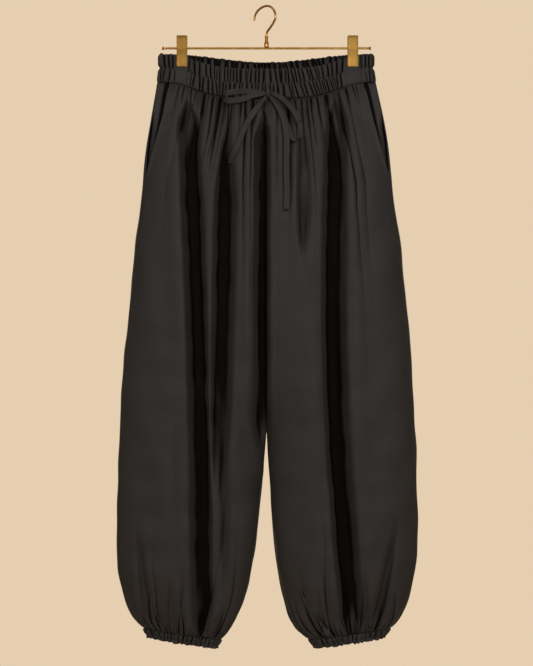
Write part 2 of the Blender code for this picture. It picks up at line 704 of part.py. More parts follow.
def make_hook(parts):
    """The bent wire: a wide open crown, turned to straddle a rail, on a straight shank."""
    steps = 9
    crown = WIRE_RADIUS - HOOK_HEIGHT
    points = []
    for step in range(2 * steps + 1):
        angle = math.pi * step / (2 * steps)
        reach = HOOK_TIP_REACH if step < steps else HOOK_FRONT_REACH
        level = -math.cos(angle) * reach
        x, y = level * math.cos(HOOK_TURN), -level * math.sin(HOOK_TURN)
        points.append((x, y, crown + HOOK_HEIGHT * math.sin(angle)))
    points.extend(HOOK_NECK)
    curve = bpy.data.curves.new("hanger_hook", "CURVE")
    curve.dimensions = "3D"
    curve.bevel_depth = WIRE_RADIUS * MM
    curve.bevel_resolution = 2
    curve.use_fill_caps = True
    spline = curve.splines.new("POLY")
    smooth = smooth_route(points, 34)
    spline.points.add(len(smooth) - 1)
    for target, point in zip(spline.points, smooth):
        target.co = (*(Vector(point) * MM), 1.0)
    curve.materials.append(make_material(BRASS))
    parts.objects.link(bpy.data.objects.new("hanger_hook", curve))


def smooth_route(points, count):
    """Evenly spaced points on a smooth curve through the given ones."""
    points = np.array(points, float)
    steps = np.linalg.norm(np.diff(points, axis=0), axis=1)
    along = np.concatenate(([0], np.cumsum(steps)))
    guide = Table("along x y z", *np.column_stack((along, points)))
    places = np.linspace(0, along[-1], count)
    return [tuple(float(guide.read(axis, place)) for axis in "xyz") for place in places]


def make_turned(name, profile, parts, axis, place, steps=20):
    """A closed or axis-to-axis outline of (radius, height) turned about an axis."""
    data = bpy.data.meshes.new(name)
    closed = profile[0] == profile[-1]
    corners = profile[:-1] if closed else profile
    data.from_pydata(
        [(radius * MM, 0.0, height * MM) for radius, height in corners],
        [(index, (index + 1) % len(corners)) for index in range(len(corners) - (0 if closed else 1))],
        [],
    )
    data.materials.append(make_material(BRASS))
    piece = bpy.data.objects.new(name, data)
    parts.objects.link(piece)
    screw = piece.modifiers.new("turn", "SCREW")
    screw.steps = screw.render_steps = steps
    screw.use_merge_vertices = True
    screw.merge_threshold = 0.00001
    piece.location = Vector(place) * MM
    if axis == "X":
        piece.rotation_euler = (0, math.pi / 2, 0)
    return piece


def make_hanger(parts):
    """The bar with its end knobs, and the stepped collar that holds the hook's shank."""
    end, knob = BAR_HALF_LENGTH, 3.1
    half = [(0, end), (knob - 0.6, end), (knob, end - 0.8), (knob, end - 2.6), (WIRE_RADIUS, end - 4.0)]
    profile = half + [(radius, -height) for radius, height in reversed(half)]
    make_turned("hanger_bar", profile, parts, "X", (0, 0, -BAR_DOWN), steps=14)
    bore, neck, body = WIRE_RADIUS + SEAM_GAP, 2.9, 4.2
    top, step, low = -49.0, -59.5, -BAR_DOWN + WIRE_RADIUS + SEAM_GAP
    outside = ((neck, top), (neck, step), (body, step - 1.0), (body, low))
    outline = (*outside, (bore, low), (bore, top), (neck, top))
    make_turned("hanger_collar", outline, parts, "Z", (0, 0, 0))


def make_clip(leg, parts):
    """Two bent plates, and the spring barrel on the bar between them.

    Above the cloth the plates clear the barrel, and below they close on the waistband.
    """
    across = [CLIP_X[leg] + side * CLIP_WIDTH / 2 for side in (LEFT, 0, RIGHT)]
    for face in (FRONT, BACK):
        profile = [(49.0, 7.8), (60.0, 6.5), (70.0, 5.8), (75.0, 5.4)]
        for down in (82.0, 90.0, CLIP_GRIP_BOTTOM):
            cloth = max(cloth_reach(face, x, down) for x in across)
            profile.append((down, cloth + BAND_WALL / 2 + CLIP_GAP + CLIP_PLATE / 2))
        sheets = []
        for offset in (CLIP_PLATE / 2, -CLIP_PLATE / 2):
            rows = [(down, -face * (reach + offset)) for down, reach in profile]
            sheets.append([[(x, y, -down) for x in across] for down, y in rows])
        wall(f"clip_{side_name(leg)}_{face_name(face)}", *sheets, BRASS, parts)
    bore, barrel, half = WIRE_RADIUS + SEAM_GAP, 4.7, 6.0
    outline = ((barrel, half), (barrel, -half), (bore, -half), (bore, half), (barrel, half))
    place = (CLIP_X[leg], 0, -BAR_DOWN)
    make_turned(f"clip_{side_name(leg)}_spring", outline, parts, "X", place, steps=16)


def main():
    for old in list(bpy.data.objects):
        bpy.data.objects.remove(old, do_unlink=True)
    parts = bpy.data.collections.new("joggers_on_hanger")
    bpy.context.scene.collection.children.link(parts)
    for face in (FRONT, BACK):
        make_waistband(face, parts)
        for leg in (LEFT, RIGHT):
            make_panel(leg, face, parts)
    for leg in (LEFT, RIGHT):
        make_pocket(leg, parts)
        make_cuff(leg, parts)
        make_clip(leg, parts)
    make_knot(parts)
    make_ribbon("tie_loop_left", TIE_LOOP_LEFT, 22, parts)
    make_ribbon("tie_loop_right", TIE_LOOP_RIGHT, 26, parts)
    make_ribbon("tie_tail_left", TIE_TAIL_LEFT, 12, parts)
    make_ribbon("tie_tail_right", TIE_TAIL_RIGHT, 16, parts)
    make_hanger(parts)
    make_hook(parts)


main()
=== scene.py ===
"""The looks of balloon joggers on a slim clip hanger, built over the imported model.

The cloth pieces are thin shells on the forms of their solids: each is a grid laid over the
garment's own cross-sections, with gathers, hanging folds and soft creases in its own sizes.
Sizes are in millimetres, and MM turns them into metres where a mesh is made. The garment
hangs facing -Y, and left and right are as seen from the front, so left is at -X.
"""

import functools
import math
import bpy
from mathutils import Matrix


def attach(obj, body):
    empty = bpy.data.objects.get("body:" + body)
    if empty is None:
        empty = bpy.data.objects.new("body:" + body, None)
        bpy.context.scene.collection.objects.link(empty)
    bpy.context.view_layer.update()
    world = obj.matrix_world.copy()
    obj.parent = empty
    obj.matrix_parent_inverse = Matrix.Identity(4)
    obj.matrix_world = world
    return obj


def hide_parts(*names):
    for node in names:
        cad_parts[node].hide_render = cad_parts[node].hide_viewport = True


bl_info = {
    "name": "Balloon joggers on a clip hanger",
    "version": (1, 0, 0),
    "blender": (4, 5, 0),
    "location": "3D View > Sidebar > Joggers",
    "description": "Gathered cloth, drawstring, stitching and brass hanger over the packed model",
    "category": "Object",
}

import bmesh
import bpy
import numpy as np
from mathutils import Matrix, Vector

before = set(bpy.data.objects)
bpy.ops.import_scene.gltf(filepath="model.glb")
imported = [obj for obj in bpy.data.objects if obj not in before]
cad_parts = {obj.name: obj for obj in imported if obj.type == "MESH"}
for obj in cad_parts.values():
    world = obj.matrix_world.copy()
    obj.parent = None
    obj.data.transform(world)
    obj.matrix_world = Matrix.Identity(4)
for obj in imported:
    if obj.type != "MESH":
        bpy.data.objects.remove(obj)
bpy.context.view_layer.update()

MM = 0.001
LEFT, RIGHT = -1, 1
FRONT, BACK = 1, -1
BODY = "root"

# The walls that the solids have, between which the cloth's middle lies
PANEL_WALL = 1.6
BAND_WALL = 2.4
FACING_WALL = 1.2
# The space between two pieces of cloth that are sewn edge to edge
SHUT_GAP = 0.06
# The front centre seam lies this far to the right, and the back one as far to the left
CENTRE_SHIFT = 0.9

# Heights, as distances down from the hook's crown at the side seams
WAIST_TOP = 79.4
WAIST_SEAM = 128.0
CROTCH = 724.0
CUFF_SEAM = 1056.0
CUFF_HEM = 1072.0
POCKET_BOTTOM = 304.0

# Grids of the cloth pieces, and how wide those of even width are for their places on the cloth
PANEL_COLUMNS = {FRONT: 200, BACK: 150}
BAND_COLUMNS, BAND_ROWS, BAND_ACROSS = 290, 40, 370.0
CUFF_COLUMNS, CUFF_ROWS, CUFF_ACROSS = 340, 22, 260.0
FACING_COLUMNS, FACING_ROWS, FACING_ACROSS = 36, 90, 26.0
# Where the stitched line of a casing lies, as a part of the way down
BAND_MIDDLE = 0.49
CUFF_STITCHED = 0.66
# Painted shade: a reach and a depth for each size of the folds whose troughs are darkened in a piece's
# colour
PANEL_PAINTED_SHADE = ((46, 10), (10, 2.4), (4, 1.0))
FACING_PAINTED_SHADE = ((8, 3),)
BAND_PAINTED_SHADE = ((4, 0.65),)
CUFF_PAINTED_SHADE = ((4, 1.3),)
# The panels' gathers at each seam: how many, how slanted, how high and how long they are
WAIST_GATHERS = ((20, 0.2, 3.8, 36.0), (11, 0.2, 6.0, 82.0), (7, 0.15, 8.5, 150.0))
ANKLE_GATHERS = ((22, 0.3, 4.0, 20.0), (11, 0.3, 6.0, 42.0), (6, 0.15, 6.5, 80.0))
LONG_REACH = 60.0
# The power of a gather's fading, and the height of the panels' faint unevenness
GATHER_FADE = 1.5
PANEL_CRUMPLE = 0.85
# How far a panel reaches past its seams, and how near to them it is drawn in
PANEL_TUCK, SHUT_REACH = 1.2, 2.6
# How flat the lower channel is below each clip
FLAT_PATCH = {LEFT: 0.5, RIGHT: 0.9}
# The front band's gathers are drawn aslant beside the knot
BAND_LEAN, BAND_LEAN_X, BAND_LEAN_WIDTH = 0.035, 70.0, 45.0

# Hanger
WIRE_RADIUS = 1.9
BAR_DOWN = 70.0
BAR_HALF_LENGTH = 178.0
CLIP_X = {LEFT: -143.6, RIGHT: 146.7}
CLIP_WIDTH = 18.0
CLIP_PLATE = 1.4
CLIP_GRIP_BOTTOM = 101.5
CLIP_GAP = 0.5

# Drawstring
TIE_THICKNESS = 1.8
KNOT_X, KNOT_DOWN = 3.0, 151.0
KNOT_RADII = (6.2, 4.0, 6.0)
KNOT_OFF_BAND = 1.9
# The folded tape's profile in parts of its width and thickness: a half, and the same turned round
HALF_TAPE = (
    (-0.5, 0), (-0.47, 0.34), (-0.38, 0.5), (-0.14, 0.46), (0, 0.1), (0.14, 0.46), (0.38, 0.5), (0.47, 0.34),
)
TAPE_PROFILE = HALF_TAPE + tuple((-a, -b) for a, b in HALF_TAPE)

# Studio, in metres: the photograph's frame is 533 by 666, and shows this much from top to bottom
VIEW_HEIGHT, VIEW_MIDDLE = 1.132, -0.5539
FLOOR_RADIUS, FLOOR_DOWN = 0.9, 1.32
# Each lamp's name, place, size and power in watts
LAMPS = (
    ("key", (1.0, -3.0, 0.5), 0.9, 33),
    ("fill", (-1.8, -2.6, 0.1), 1.2, 14),
    ("front", (0.3, -4.5, 0.0), 3.0, 34),
    ("top", (-0.3, -0.9, 1.6), 1.0, 6),
    ("rim_left", (-1.3, 2.9, 0.3), 1.2, 15),
    ("rim_right", (1.3, 2.9, 0.3), 1.2, 15),
)

# The cross-sections: points in each face, the powers of the sine that round the leg and its side
# edge, and the space that a fold leaves before the middle plane
FINE = 360
ROUNDNESS = 0.75
EDGE_ROUNDNESS = 0.4
FOLD_ROOM = 3.0
# How steep a fold's two walls are
STEEP_SIDE, SOFT_SIDE = 1.35, 0.9


class Table:
    """Sizes in named columns, read between its rows along a smooth curve with no overshoot."""

    def __init__(self, columns, *rows):
        self.names = columns.split()
        self.rows = rows
        self.columns = dict(zip(self.names, np.array(rows, float).T))

    def read(self, name, at):
        """The named column's value where the first column is `at`."""
        keys = self.columns[self.names[0]]
        values = self.columns[name]
        grades = np.diff(values) / np.diff(keys)
        before, after = grades[:-1], grades[1:]
        level = before * after <= 0
        inside = np.where(level, 0.0, 2 * before * after / np.where(level, 1.0, before + after))
        slopes = np.concatenate((grades[:1], inside, grades[-1:]))
        at = np.clip(at, keys[0], keys[-1])
        row = np.clip(np.searchsorted(keys, at, side="right") - 1, 0, len(keys) - 2)
        step = keys[row + 1] - keys[row]
        part = (at - keys[row]) / step
        rise = 3 * part**2 - 2 * part**3
        return (
            values[row] * (1 - rise)
            + values[row + 1] * rise
            + step * slopes[row] * (part**3 - 2 * part**2 + part)
            + step * slopes[row + 1] * (part**3 - part**2)
        )


# How far each side's outline lies from the centre
OUTER = Table(
    "down   left   right",
    (79,   185.0, 184.0),
    (104,  185.0, 184.0),
    (128,  187.0, 187.0),
    (148,  190.0, 191.0),
    (192,  197.0, 200.0),
    (243,  205.0, 208.0),
    (294,  210.0, 213.0),
    (345,  215.0, 218.0),
    (396,  222.0, 227.0),
    (447,  227.0, 232.0),
    (549,  237.0, 242.0),
    (651,  246.0, 249.0),
    (760,  251.0, 254.0),
    (868,  254.0, 257.0),
    (923,  254.0, 256.0),
    (950,  253.0, 254.0),
    (977,  248.0, 249.0),
    (1004, 241.0, 242.0),
    (1032, 229.0, 230.0),
    (1045, 219.0, 221.0),
    (1056, 208.0, 210.0),
    (1072, 200.0, 200.0),
)

# How far each leg's inner edge lies from the centre, below the crotch
INNER = Table(
    "down   left  right",
    (724,   0.2,   0.2),
    (760,   3.0,   2.0),
    (814,   8.0,   6.0),
    (868,  13.0,   9.0),
    (923,  20.0,  16.0),
    (950,  25.0,  19.0),
    (977,  30.0,  24.0),
    (1004, 37.0,  31.0),
    (1032, 49.0,  40.0),
    (1059, 64.0,  55.0),
    (1075, 76.8,  71.7),
    (1090, 85.0,  82.3),
)

# The cross-sections' depths. depth: a leg's round form; bulge: the slack between the clips;
# flat: half the space between front and back where they lie together; close: how far round, in
# degrees, a panel reaches; sag: how much lower the middle hangs than the sides.
SHAPE = Table(
    "down front_depth back_depth front_bulge back_bulge flat front_close back_close front_sag back_sag",
    (79,    0.0,  0.0, 22.0, 14.0, 1.7,  90.0,  90.0, 28.5, 12.7),
    (104,   0.0,  0.0, 26.0, 16.0, 1.8,  90.0,  90.0, 29.5, 13.0),
    (128,   0.0,  0.0, 29.0, 18.0, 3.6,  90.0,  90.0, 31.5, 14.0),
    (145,   8.0,  9.0, 27.0, 17.0, 4.0,  91.0,  92.0, 29.0, 13.0),
    (165,  16.0, 18.0, 24.0, 15.0, 4.0,  93.0,  94.0, 26.0, 12.0),
    (200,  26.0, 29.0, 18.0, 12.0, 4.0,  96.0,  98.0, 21.0,  9.5),
    (250,  35.0, 40.0, 11.0,  7.0, 4.0, 100.0, 103.0, 14.5,  6.5),
    (320,  42.0, 47.0,  4.0,  2.5, 4.0, 107.0, 110.0,  7.0,  3.0),
    (400,  47.0, 52.0,  0.0,  0.0, 4.0, 115.0, 118.0,  1.5,  0.5),
    (500,  50.0, 54.0,  0.0,  0.0, 4.0, 127.0, 129.0,  0.0,  0.0),
    (600,  50.0, 54.0,  0.0,  0.0, 4.0, 142.0, 143.0,  0.0,  0.0),
    (670,  50.0, 52.0,  0.0,  0.0, 4.0, 158.0, 158.0,  0.0,  0.0),
    (724,  49.0, 50.0,  0.0,  0.0, 4.0, 180.0, 180.0,  0.0,  0.0),
    (800,  47.0, 48.0,  0.0,  0.0, 4.0, 180.0, 180.0,  0.0,  0.0),
    (900,  44.0, 46.0,  0.0,  0.0, 4.0, 180.0, 180.0,  0.0,  0.0),
    (970,  39.0, 41.0,  0.0,  0.0, 4.0, 180.0, 180.0,  0.0,  0.0),
    (1010, 32.0, 34.0,  0.0,  0.0, 4.0, 180.0, 180.0,  0.0,  0.0),
    (1040, 22.0, 24.0,  0.0,  0.0, 4.0, 180.0, 180.0,  0.0,  0.0),
    (1056, 14.0, 15.0,  0.0,  0.0, 4.0, 180.0, 180.0,  0.0,  0.0),
    (1072, 12.0, 13.0,  0.0,  0.0, 4.0, 180.0, 180.0,  0.0,  0.0),
)

# seam_forward: how far the side seam lies in front of the side; mouth: how far the pocket's
# mouth lies in front of that seam; inner_drop: how much lower a leg's inner edge is than its
# outer edge, from the tilt of the ankle.
SEAMS = Table(
    "down seam_forward mouth inner_drop",
    (79,    0.0,  0.0,  0.0),
    (128,   0.0, 23.0,  0.0),
    (180,   3.0, 24.0,  0.0),
    (220,   7.0, 20.0,  0.0),
    (260,  12.0, 11.0,  0.0),
    (290,  15.0,  3.0,  0.0),
    (304,  17.0,  0.0,  0.0),
    (420,  22.0,  0.0,  0.0),
    (600,  22.0,  0.0,  0.0),
    (900,  24.0,  0.0,  0.0),
    (950,  22.0,  0.0,  3.0),
    (991,  18.0,  0.0,  7.0),
    (1018, 12.0,  0.0, 11.0),
    (1045,  6.0,  0.0, 16.0),
    (1056,  4.0,  0.0, 19.0),
    (1072,  4.0,  0.0, 17.5),
)

# The hanging folds: troughs from (top_x, top) down to (bottom_x, bottom). steep: the side, left or
# right, on which the trough has its steeper wall.
FOLDS = Table(
    "face  steep  top_x   top  bottom_x bottom  bow width depth fade",
    (FRONT, RIGHT, -131,  150,  -106,   1056,   7,   16,   32,   60),
    (FRONT, LEFT,   -67,  180,   -83,    760,   0,   17,   22,  170),
    (FRONT, RIGHT,   -6,  175,    -7,    724,   0,   11,   34,   60),
    (FRONT, LEFT,   117,  150,   143,   1056, -19,   18,   32,   60),
    (FRONT, LEFT,    60,  150,    60,    380,   0,   12,    9,  120),
    (FRONT, LEFT,   -98,  600,   -92,   1010,   2,   25,   15,  220),
    (FRONT, RIGHT, -140,  540,  -128,   1010,   0,   24,    6,  240),
    (FRONT, RIGHT,   92,  330,   112,    900,   3,   22,    6,  160),
    (FRONT, RIGHT, -218,  870,  -197,   1056,   0,   12,    7,  150),
    (FRONT, LEFT,  -159,  940,  -165,   1056,   0,   10,    6,  110),
    (FRONT, LEFT,   -96,  950,  -112,   1056,   0,   10,    6,  110),
    (FRONT, LEFT,   224,  850,   180,   1056,   0,   12,    7,  160),
    (FRONT, RIGHT,   84,  975,    98,   1072,   0,   10,    6,   90),
    (FRONT, RIGHT,  165,  950,   169,   1056,   0,   10,    6,  100),
    (BACK,  RIGHT, -138,  150,  -126,   1056,   3,   13,   22,   90),
    (BACK,  LEFT,   -58,  170,   -64,    540,   4,   13,   10,  190),
    (BACK,  RIGHT,    0,  190,     0,    724,   0,   11,   20,   90),
    (BACK,  LEFT,   120,  150,   128,   1056,   3,   12,   22,   90),
    (BACK,  RIGHT,   55,  180,    60,    450,   3,   13,    9,  150),
    (BACK,  RIGHT, -208,  850,  -190,   1052,   0,   12,    8,  160),
    (BACK,  LEFT,   -85,  900,   -98,   1066,   0,   11,    7,  130),
    (BACK,  LEFT,   212,  840,   186,   1052,   0,   12,    8,  160),
    (BACK,  RIGHT,   90,  905,   100,   1066,   0,   11,    7,  130),
)

# The sag is flat beside the clips and steepest just inside them
SAG_HALF_WIDTH = {FRONT: 145.0, BACK: 138.0}
SAG_POWER = {FRONT: 2.6, BACK: 1.6}
SAG_EASE = 0.25
BULGE_HALF_WIDTH = 134.0
# Outside each clip the waistband's end opens into a small loop
END_LOOP_INSIDE = 157.0
END_LOOP_WIDTH = 26.0
END_LOOP_DEPTH = 3.6
END_LOOP_FADE = 60.0

# out: distance in front of the cloth; turn: the ribbon's width, in degrees from +X towards +Z
TIE_ROUTES = {
    "tie_loop_left": Table(
        "x     down   out  turn width",
        (-3.6,  150.0,  6.8, 90,  6.0),
        (-26.0, 147.5,  7.0, 90, 10.0),
        (-47.0, 147.0,  7.0, 90, 11.0),
        (-62.0, 148.5,  9.0, 88, 11.0),
        (-69.5, 152.5, 13.5, 85, 11.0),
        (-69.5, 159.0, 18.5, 85, 11.0),
        (-61.0, 164.0, 21.0, 92, 11.0),
        (-44.0, 162.5, 20.5, 98, 11.0),
        (-25.0, 156.5, 16.5, 98, 10.0),
        (-1.4,  151.5, 10.9, 95,  6.0),
    ),
    "tie_loop_right": Table(
        "x     down   out  turn width",
        (8.6,  150.5, 11.7, 70,  6.0),
        (25.5, 160.0, 17.0, 55,  9.0),
        (40.0, 175.0, 20.0, 45, 10.0),
        (51.0, 192.0, 21.0, 35, 10.0),
        (56.5, 209.0, 20.5, 30, 10.0),
        (55.5, 222.0, 17.5, 30, 10.0),
        (49.0, 230.0, 13.0, 30, 10.0),
        (41.5, 225.0,  8.5, 30, 10.0),
        (35.5, 209.0,  7.0, 30, 10.0),
        (28.0, 188.0,  6.5, 35,  9.5),
        (20.0, 170.0,  6.5, 40,  8.0),
        (9.9,  154.9,  6.6, 50,  6.0),
    ),
    "tie_tail_left": Table(
        "x     down   out  turn width",
        (-0.4,  156.2,  8.3, -30,  6.5),
        (-11.0, 170.0, 10.5, -32,  9.0),
        (-24.0, 188.0,  9.5, -30, 11.0),
        (-36.0, 209.0,  8.5, -26, 11.0),
        (-46.5, 234.0,  8.0, -22, 11.0),
        (-55.5, 256.0,  7.5, -20, 11.0),
        (-60.5, 270.0,  7.5, -18, 11.0),
    ),
    "tie_tail_right": Table(
        "x     down   out  turn width",
        (5.8,  156.3,  8.6, 25,  6.0),
        (16.0, 170.0, 11.5, 25,  8.0),
        (24.5, 186.0, 11.5, 20, 10.0),
        (31.0, 206.0, 11.0, 12, 10.5),
        (34.0, 234.0, 11.0,  4, 10.5),
        (33.5, 277.0,  9.0, -3, 10.5),
        (34.0, 319.0,  8.0,  0, 10.5),
        (33.0, 348.0,  8.0,  3, 10.5),
    ),
}

# The wire from the tip, behind the rail, over the crown and down to the collar
HOOK_TURN = math.radians(40)
HOOK_TIP_REACH = 27.0
HOOK_FRONT_REACH = 20.0
HOOK_HEIGHT = 21.0
HOOK_NECK = (
    (11.0, -8.8, -29.0),
    (6.0, -4.8, -36.0),
    (1.4, -1.1, -42.0),
    (0.0, 0.0, -46.5),
    (0.0, 0.0, -50.0),
    (0.0, 0.0, -67.0),
)


def face_name(face):
    """The word for a face, as the tables and nodes use it."""
    return "front" if face == FRONT else "back"


def side_name(leg):
    """The word for a side, as the tables and nodes use it."""
    return "left" if leg == LEFT else "right"


def smooth_step(value):
    """0 to 1 with a flat start and end, as the value goes from 0 to 1."""
    part = np.clip(value, 0, 1)
    return part * part * (3 - 2 * part)


def bell(value):
    """1 at zero, falling away softly on both sides."""
    return np.exp(-(value**2))


def arc_lengths(points):
    """The distance along a line at each of its points."""
    steps = np.linalg.norm(np.diff(points, axis=0), axis=1)
    return np.concatenate(([0], np.cumsum(steps)))


def read_along(values, along, places):
    """A line's values at one place or several along it, between its points."""
    return np.stack([np.interp(places, along, column) for column in values.T], axis=-1)


def fold_depth(face, x, down):
    """How far the hanging folds sink a face of the cloth, with a low lip on each side."""
    depth = np.zeros_like(x)
    for row in FOLDS.rows:
        fold = dict(zip(FOLDS.names, row))
        if fold["face"] != face or down.max() < fold["top"] or down.min() > fold["bottom"] + fold["fade"]:
            continue
        part = (down - fold["top"]) / (fold["bottom"] - fold["top"])
        middle = fold["top_x"] + (fold["bottom_x"] - fold["top_x"]) * part
        middle = middle + fold["bow"] * np.sin(np.pi * part)
        start = smooth_step((down - fold["top"]) / fold["fade"])
        end = smooth_step((fold["bottom"] - down) / fold["fade"] + 0.6)
        away = fold["steep"] * (x - middle) / fold["width"] / (0.45 + 0.55 * start * end)
        away = np.where(away > 0, STEEP_SIDE * away, -SOFT_SIDE * away)
        trough = np.exp(-(away**4)) - 0.05 * bell((away - 2.0) / 0.6)
        depth = depth + fold["depth"] * trough * start * end
    return depth


class Ring:
    """One leg's cross-section, from the back's inner edge round the side to the front's.

    at: fine points (x, y, z); out: their level outward directions; along: distance along the
    cloth; side: that distance at the side; unfolded: distance along its form without the folds.
    """

    made = {}

    @classmethod
    def get(cls, leg, down, split):
        """A cross-section, made once for both faces."""
        key = (leg, round(down, 3), split)
        if key not in cls.made:
            cls.made[key] = cls(leg, down, split)
        return cls.made[key]

    def __init__(self, leg, down, split):
        self.leg = leg
        self.down = down
        self.at, self.out = self.points(0.0)
        if split:
            ends = np.linspace(abs(self.out[0, 0]), abs(self.out[-1, 0]), 2 * FINE + 1)
            self.at, self.out = self.points(ends * SHUT_GAP / 2)
        self.along = arc_lengths(self.at[:, :2])
        self.side = self.along[FINE]

    def points(self, clearance):
        """The section with its centre edges held off the middle by a clearance."""
        down, leg = self.down, self.leg
        drop = SEAMS.read("inner_drop", down)
        outer = OUTER.read(side_name(leg), down) - PANEL_WALL / 2
        inner = clearance
        if down > CROTCH:
            inner = INNER.read(side_name(leg), down + drop) + PANEL_WALL / 2
        front_close = math.radians(SHAPE.read("front_close", down))
        back_close = math.radians(SHAPE.read("back_close", down))
        back_turn = np.linspace(-back_close, 0, FINE + 1)
        turn = np.concatenate((back_turn, np.linspace(0, front_close, FINE + 1)[1:]))
        front = turn >= 0
        across = (1 - np.cos(turn)) / (1 - np.cos(np.where(front, front_close, back_close)))
        width = np.abs(outer + (inner - outer) * across)
        rise = np.abs(np.sin(turn))
        half_loop = END_LOOP_WIDTH / 2
        loop = np.exp(-2 * ((width - END_LOOP_INSIDE - half_loop) / half_loop) ** 2)
        loop = loop * END_LOOP_DEPTH * smooth_step((WAIST_SEAM - down) / END_LOOP_FADE + 1)
        bump = np.cos(np.clip(width / BULGE_HALF_WIDTH, 0, 1) * np.pi / 2) ** 2
        y = np.zeros_like(turn)
        z = -down - drop * across
        for face, chosen in ((FRONT, front), (BACK, ~front)):
            word = face_name(face)
            depth = SHAPE.read(word + "_depth", down) * rise**ROUNDNESS
            depth = depth + (SHAPE.read("flat", down) + loop) * rise**EDGE_ROUNDNESS
            depth = depth + SHAPE.read(word + "_bulge", down) * bump
            y = np.where(chosen, -face * depth, y)
            sag = 1 - (width / SAG_HALF_WIDTH[face]) ** SAG_POWER[face]
            sag = (sag + np.hypot(sag, SAG_EASE)) / 2 / (0.5 + math.hypot(0.5, SAG_EASE / 2))
            z = np.where(chosen, z - SHAPE.read(word + "_sag", down) * sag, z)
        x = leg * width
        out = self.outward(x, y)
        self.unfolded = arc_lengths(np.stack((x, y), axis=1))
        for face, chosen in ((FRONT, front), (BACK, ~front)):
            sunk = fold_depth(face, x, -z) * np.abs(out[:, 1])
            room = np.clip((np.abs(y) - FOLD_ROOM) / 1.3, 0.01, None)
            y = np.where(chosen, y + face * sunk / (1 + np.abs(sunk / room) ** 4) ** 0.25, y)
        return np.stack((x, y, z), axis=1), self.outward(x, y)

    def outward(self, x, y):
        """The level direction out of the cloth at each point."""
        tangent = np.stack((np.gradient(x), np.gradient(y)), axis=1)
        tangent /= np.linalg.norm(tangent, axis=1)[:, None]
        return np.stack((tangent[:, 1], -tangent[:, 0]), axis=1) * -self.leg

    def columns(self, start, end, count):
        """Evenly spaced points and outward directions between two places along the cloth."""
        places = np.linspace(start, end, count + 1)
        out = read_along(self.out, self.along, places)
        out /= np.linalg.norm(out, axis=1)[:, None]
        return read_along(self.at, self.along, places), np.pad(out, ((0, 0), (0, 1)))


class Gathers:
    """Uneven ridges side by side across a piece, parted by narrow troughs.

    Each ridge has its own width, height and reach down from the seam that gathers it, and each
    trough its own slant.
    """

    def __init__(self, count, seed, slant=0.0):
        rng = np.random.default_rng(seed)
        widths = rng.uniform(0.55, 1.6, count)
        self.edges = np.concatenate(([0], np.cumsum(widths))) / widths.sum()
        self.heights = rng.uniform(0.5, 1.1, count) * np.sqrt(widths)
        self.reach = rng.uniform(0.5, 1.6, count)
        self.slants = rng.normal(0, slant, count + 1) / count
        self.slants[[0, -1]] = 0.0

    def read(self, at, below=0.0, lean=0.0):
        """The ridges' height at places from 0 to 1 across, at a distance in reaches below the seam."""
        edges = np.maximum.accumulate(self.edges + self.slants * lean)
        ridge = np.clip(np.searchsorted(edges, at, side="right") - 1, 0, len(self.heights) - 1)
        width = np.maximum(edges[ridge + 1] - edges[ridge], 1e-6)
        part = np.clip((at - edges[ridge]) / width, 0, 1)
        fade = np.exp(-((below / self.reach[ridge]) ** GATHER_FADE))
        return self.heights[ridge] * fade * np.sin(np.pi * part) ** 0.55


class Crumple:
    """Faint unevenness of handled cloth: a few long random waves laid over each other."""

    def __init__(self, seed, shortest, longest, count=14):
        rng = np.random.default_rng(seed)
        lengths = rng.uniform(shortest, longest, count)
        turns = rng.uniform(0, 2 * np.pi, count)
        self.waves = 2 * np.pi / lengths * np.stack((np.cos(turns), np.sin(turns)))
        self.starts = rng.uniform(0, 2 * np.pi, count)

    def read(self, across, down):
        """The height, mostly between -1 and 1, at places in millimetres."""
        phase = np.multiply.outer(across, self.waves[0]) + np.multiply.outer(down, self.waves[1])
        return np.sin(phase + self.starts).sum(axis=-1) / math.sqrt(len(self.starts))


def row_heights(top, bottom, finest, coarsest, growth):
    """Heights from top to bottom, close together near both ends."""
    downs = [top]
    while downs[-1] < bottom:
        near = min(downs[-1] - top, max(bottom - downs[-1], 0))
        downs.append(downs[-1] + min(finest + growth * near, coarsest))
    scale = (bottom - top) / (downs[-1] - top)
    return [top + (down - top) * scale for down in downs]


def place_row(across, down):
    """One row's places on the cloth: each point's distance across, and the row's distance down."""
    return np.stack((across, np.full_like(across, down)), axis=1)


def as_surface(rows):
    """Rows of (points, outward directions, places) as one array of each."""
    return tuple(np.array(column) for column in zip(*rows))


